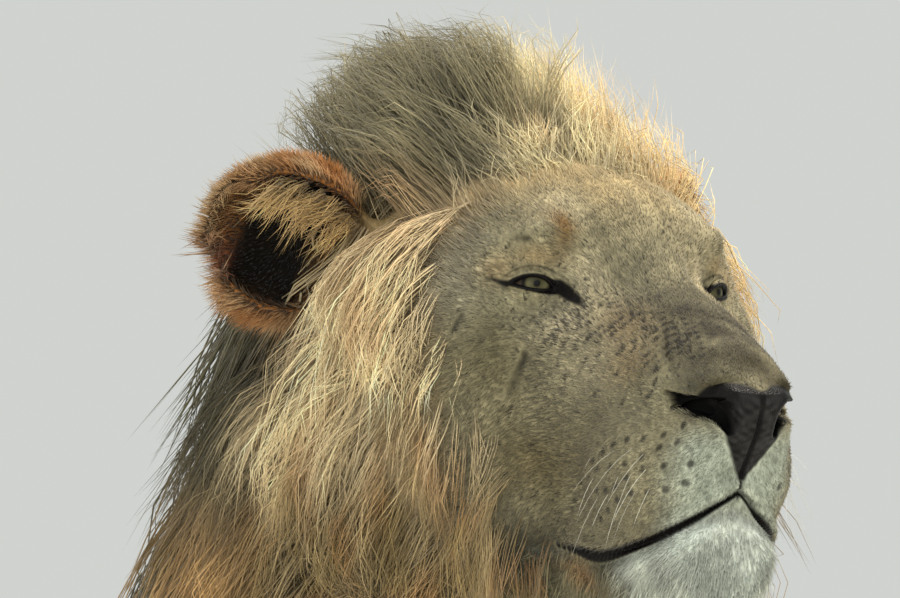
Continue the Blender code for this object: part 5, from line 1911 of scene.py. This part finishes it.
density = fade(0.42, 0.36, tri_z) * fade(0.8, 0.86, tri_y)
roots, normals = roots_on_skin(density, 90)
flow = np.array((0.06, 0.45, -1.0)) + 0.2 * drift_field(roots, 0.05, 95)
length = rng.uniform(0.07, 0.11, len(roots)) * fade(0.08, 0.19, roots[:, 2])
guides = drawn_guides(roots, normals, length + 0.012, flow, lift=0.7, weight=0.3, rings=())
mane_piece("tail_brush", guides, normals, each=9, spread=0.01, thickness=0.00085, colour=tail_colour)

elbow = spot(mirrored(tri_middle) * (1, 0, 1), (0.14, 0, 0.66), (0.06, 1, 0.05))
elbow = elbow * bump(tri_y + 0.34, 0.07)
belly = fade(0.1, 0.05, np.abs(tri_x)) * fade(0.68, 0.64, tri_z) * fade(0.3, 0.0, tri_y)
roots, normals = roots_on_skin((elbow + belly) * (tri_z > 0.52) * (tri_y > -0.42), 150)
flow = np.array((0.0, 0.55, -0.8)) + 0.2 * drift_field(roots, 0.08, 97)
length = rng.uniform(0.018, 0.036, len(roots))
guides = drawn_guides(roots, normals, length, flow, lift=0.4, rings=())
mane_piece("fringe", guides, normals, each=10, spread=0.012, thickness=0.00075,
           colour=lambda places: tiled(FRINGE_TAN, places))

# %% [markdown]
# ## Floor, light and camera
#
# The animal stands on a wide pale floor under soft studio light. One broad warm key stands high and
# a little behind it, as a high sun would, so the crest and the far mane get a bright edge. A weak
# wide fill beside the camera and the pale surroundings light the face. The camera looks slightly
# up at the head from its right side.

# %% The stage
import json
from mathutils import Matrix

FLOOR_HALF = 260.0
floor_points = np.array([(-1, -1, 0), (1, -1, 0), (1, 1, 0), (-1, 1, 0)]) * FLOOR_HALF
floor = mesh_object("floor", floor_points, np.array([(0, 1, 2), (0, 2, 3)]))
floor_material, floor_tree, floor_shader = new_material("pale_floor", 0.85, 0.2)
floor_grain = noise(floor_tree, 3.0)
pale = node(floor_tree, "MixRGB")
pale.inputs["Color1"].default_value = (0.6, 0.6, 0.57, 1)
pale.inputs["Color2"].default_value = (0.68, 0.68, 0.65, 1)
floor_tree.links.new(floor_grain, pale.inputs["Fac"])
floor_tree.links.new(pale.outputs["Color"], floor_shader.inputs["Base Color"])
floor.data.materials.append(floor_material)

CAMERA_AZIMUTH, CAMERA_ELEVATION = np.radians(-7.0), np.radians(-5.5)
CAMERA_DISTANCE, FRAME_WIDTH = 7.0, 0.549
AIM_LEFT, AIM_DOWN = 0.1083, 0.0067
SENSOR = 36.0
toward = np.array((
    np.sin(CAMERA_AZIMUTH) * np.cos(CAMERA_ELEVATION),
    -np.cos(CAMERA_AZIMUTH) * np.cos(CAMERA_ELEVATION),
    np.sin(CAMERA_ELEVATION),
))
rightward = np.array((np.cos(CAMERA_AZIMUTH), np.sin(CAMERA_AZIMUTH), 0))
upward = np.cross(toward, rightward)
aim = EYE_MIDDLE - rightward * AIM_LEFT - upward * AIM_DOWN


def placed(thing, axes, place):
    """Gives a camera or light its place, with axes as its right, up and backward directions."""
    turn = np.eye(4)
    turn[:3, :3] = np.stack(axes, 1)
    turn[:3, 3] = place
    thing.matrix_world = Matrix(turn.tolist())


camera = new_object("camera", bpy.data.cameras.new("camera"))
placed(camera, (rightward, upward, toward), aim + toward * CAMERA_DISTANCE)
camera.data.sensor_width = SENSOR
camera.data.lens = SENSOR * CAMERA_DISTANCE / FRAME_WIDTH
camera.data.clip_end = 500
bpy.context.scene.camera = camera


def sun(name, direction, strength, softness, colour):
    """A distant light that comes from a direction, given in the camera's right, up and backward."""
    lamp = new_object(name, bpy.data.lights.new(name, "SUN"))
    back = unit(np.stack((rightward, upward, toward), 1) @ np.array(direction, float))
    side = unit(np.cross((0, 0, 1.0), back))
    placed(lamp, (side, np.cross(back, side), back), (0, 0, 3))
    lamp.data.energy = strength
    lamp.data.angle = np.radians(softness)
    lamp.data.color = colour


sun("key", (0.3, 1.0, -0.28), 4.2, 14, (1.0, 0.93, 0.82))
sun("fill", (-0.35, 0.35, 1.0), 1.5, 60, (0.95, 1.0, 0.98))
world = bpy.data.worlds.new("surroundings")
bpy.context.scene.world = world
world.use_nodes = True
world.node_tree.nodes["Background"].inputs["Color"].default_value = (0.74, 0.76, 0.73, 1)
world.node_tree.nodes["Background"].inputs["Strength"].default_value = 0.85
bpy.context.scene.view_settings.view_transform = "Standard"
print("lens:", round(camera.data.lens, 1), "mm")
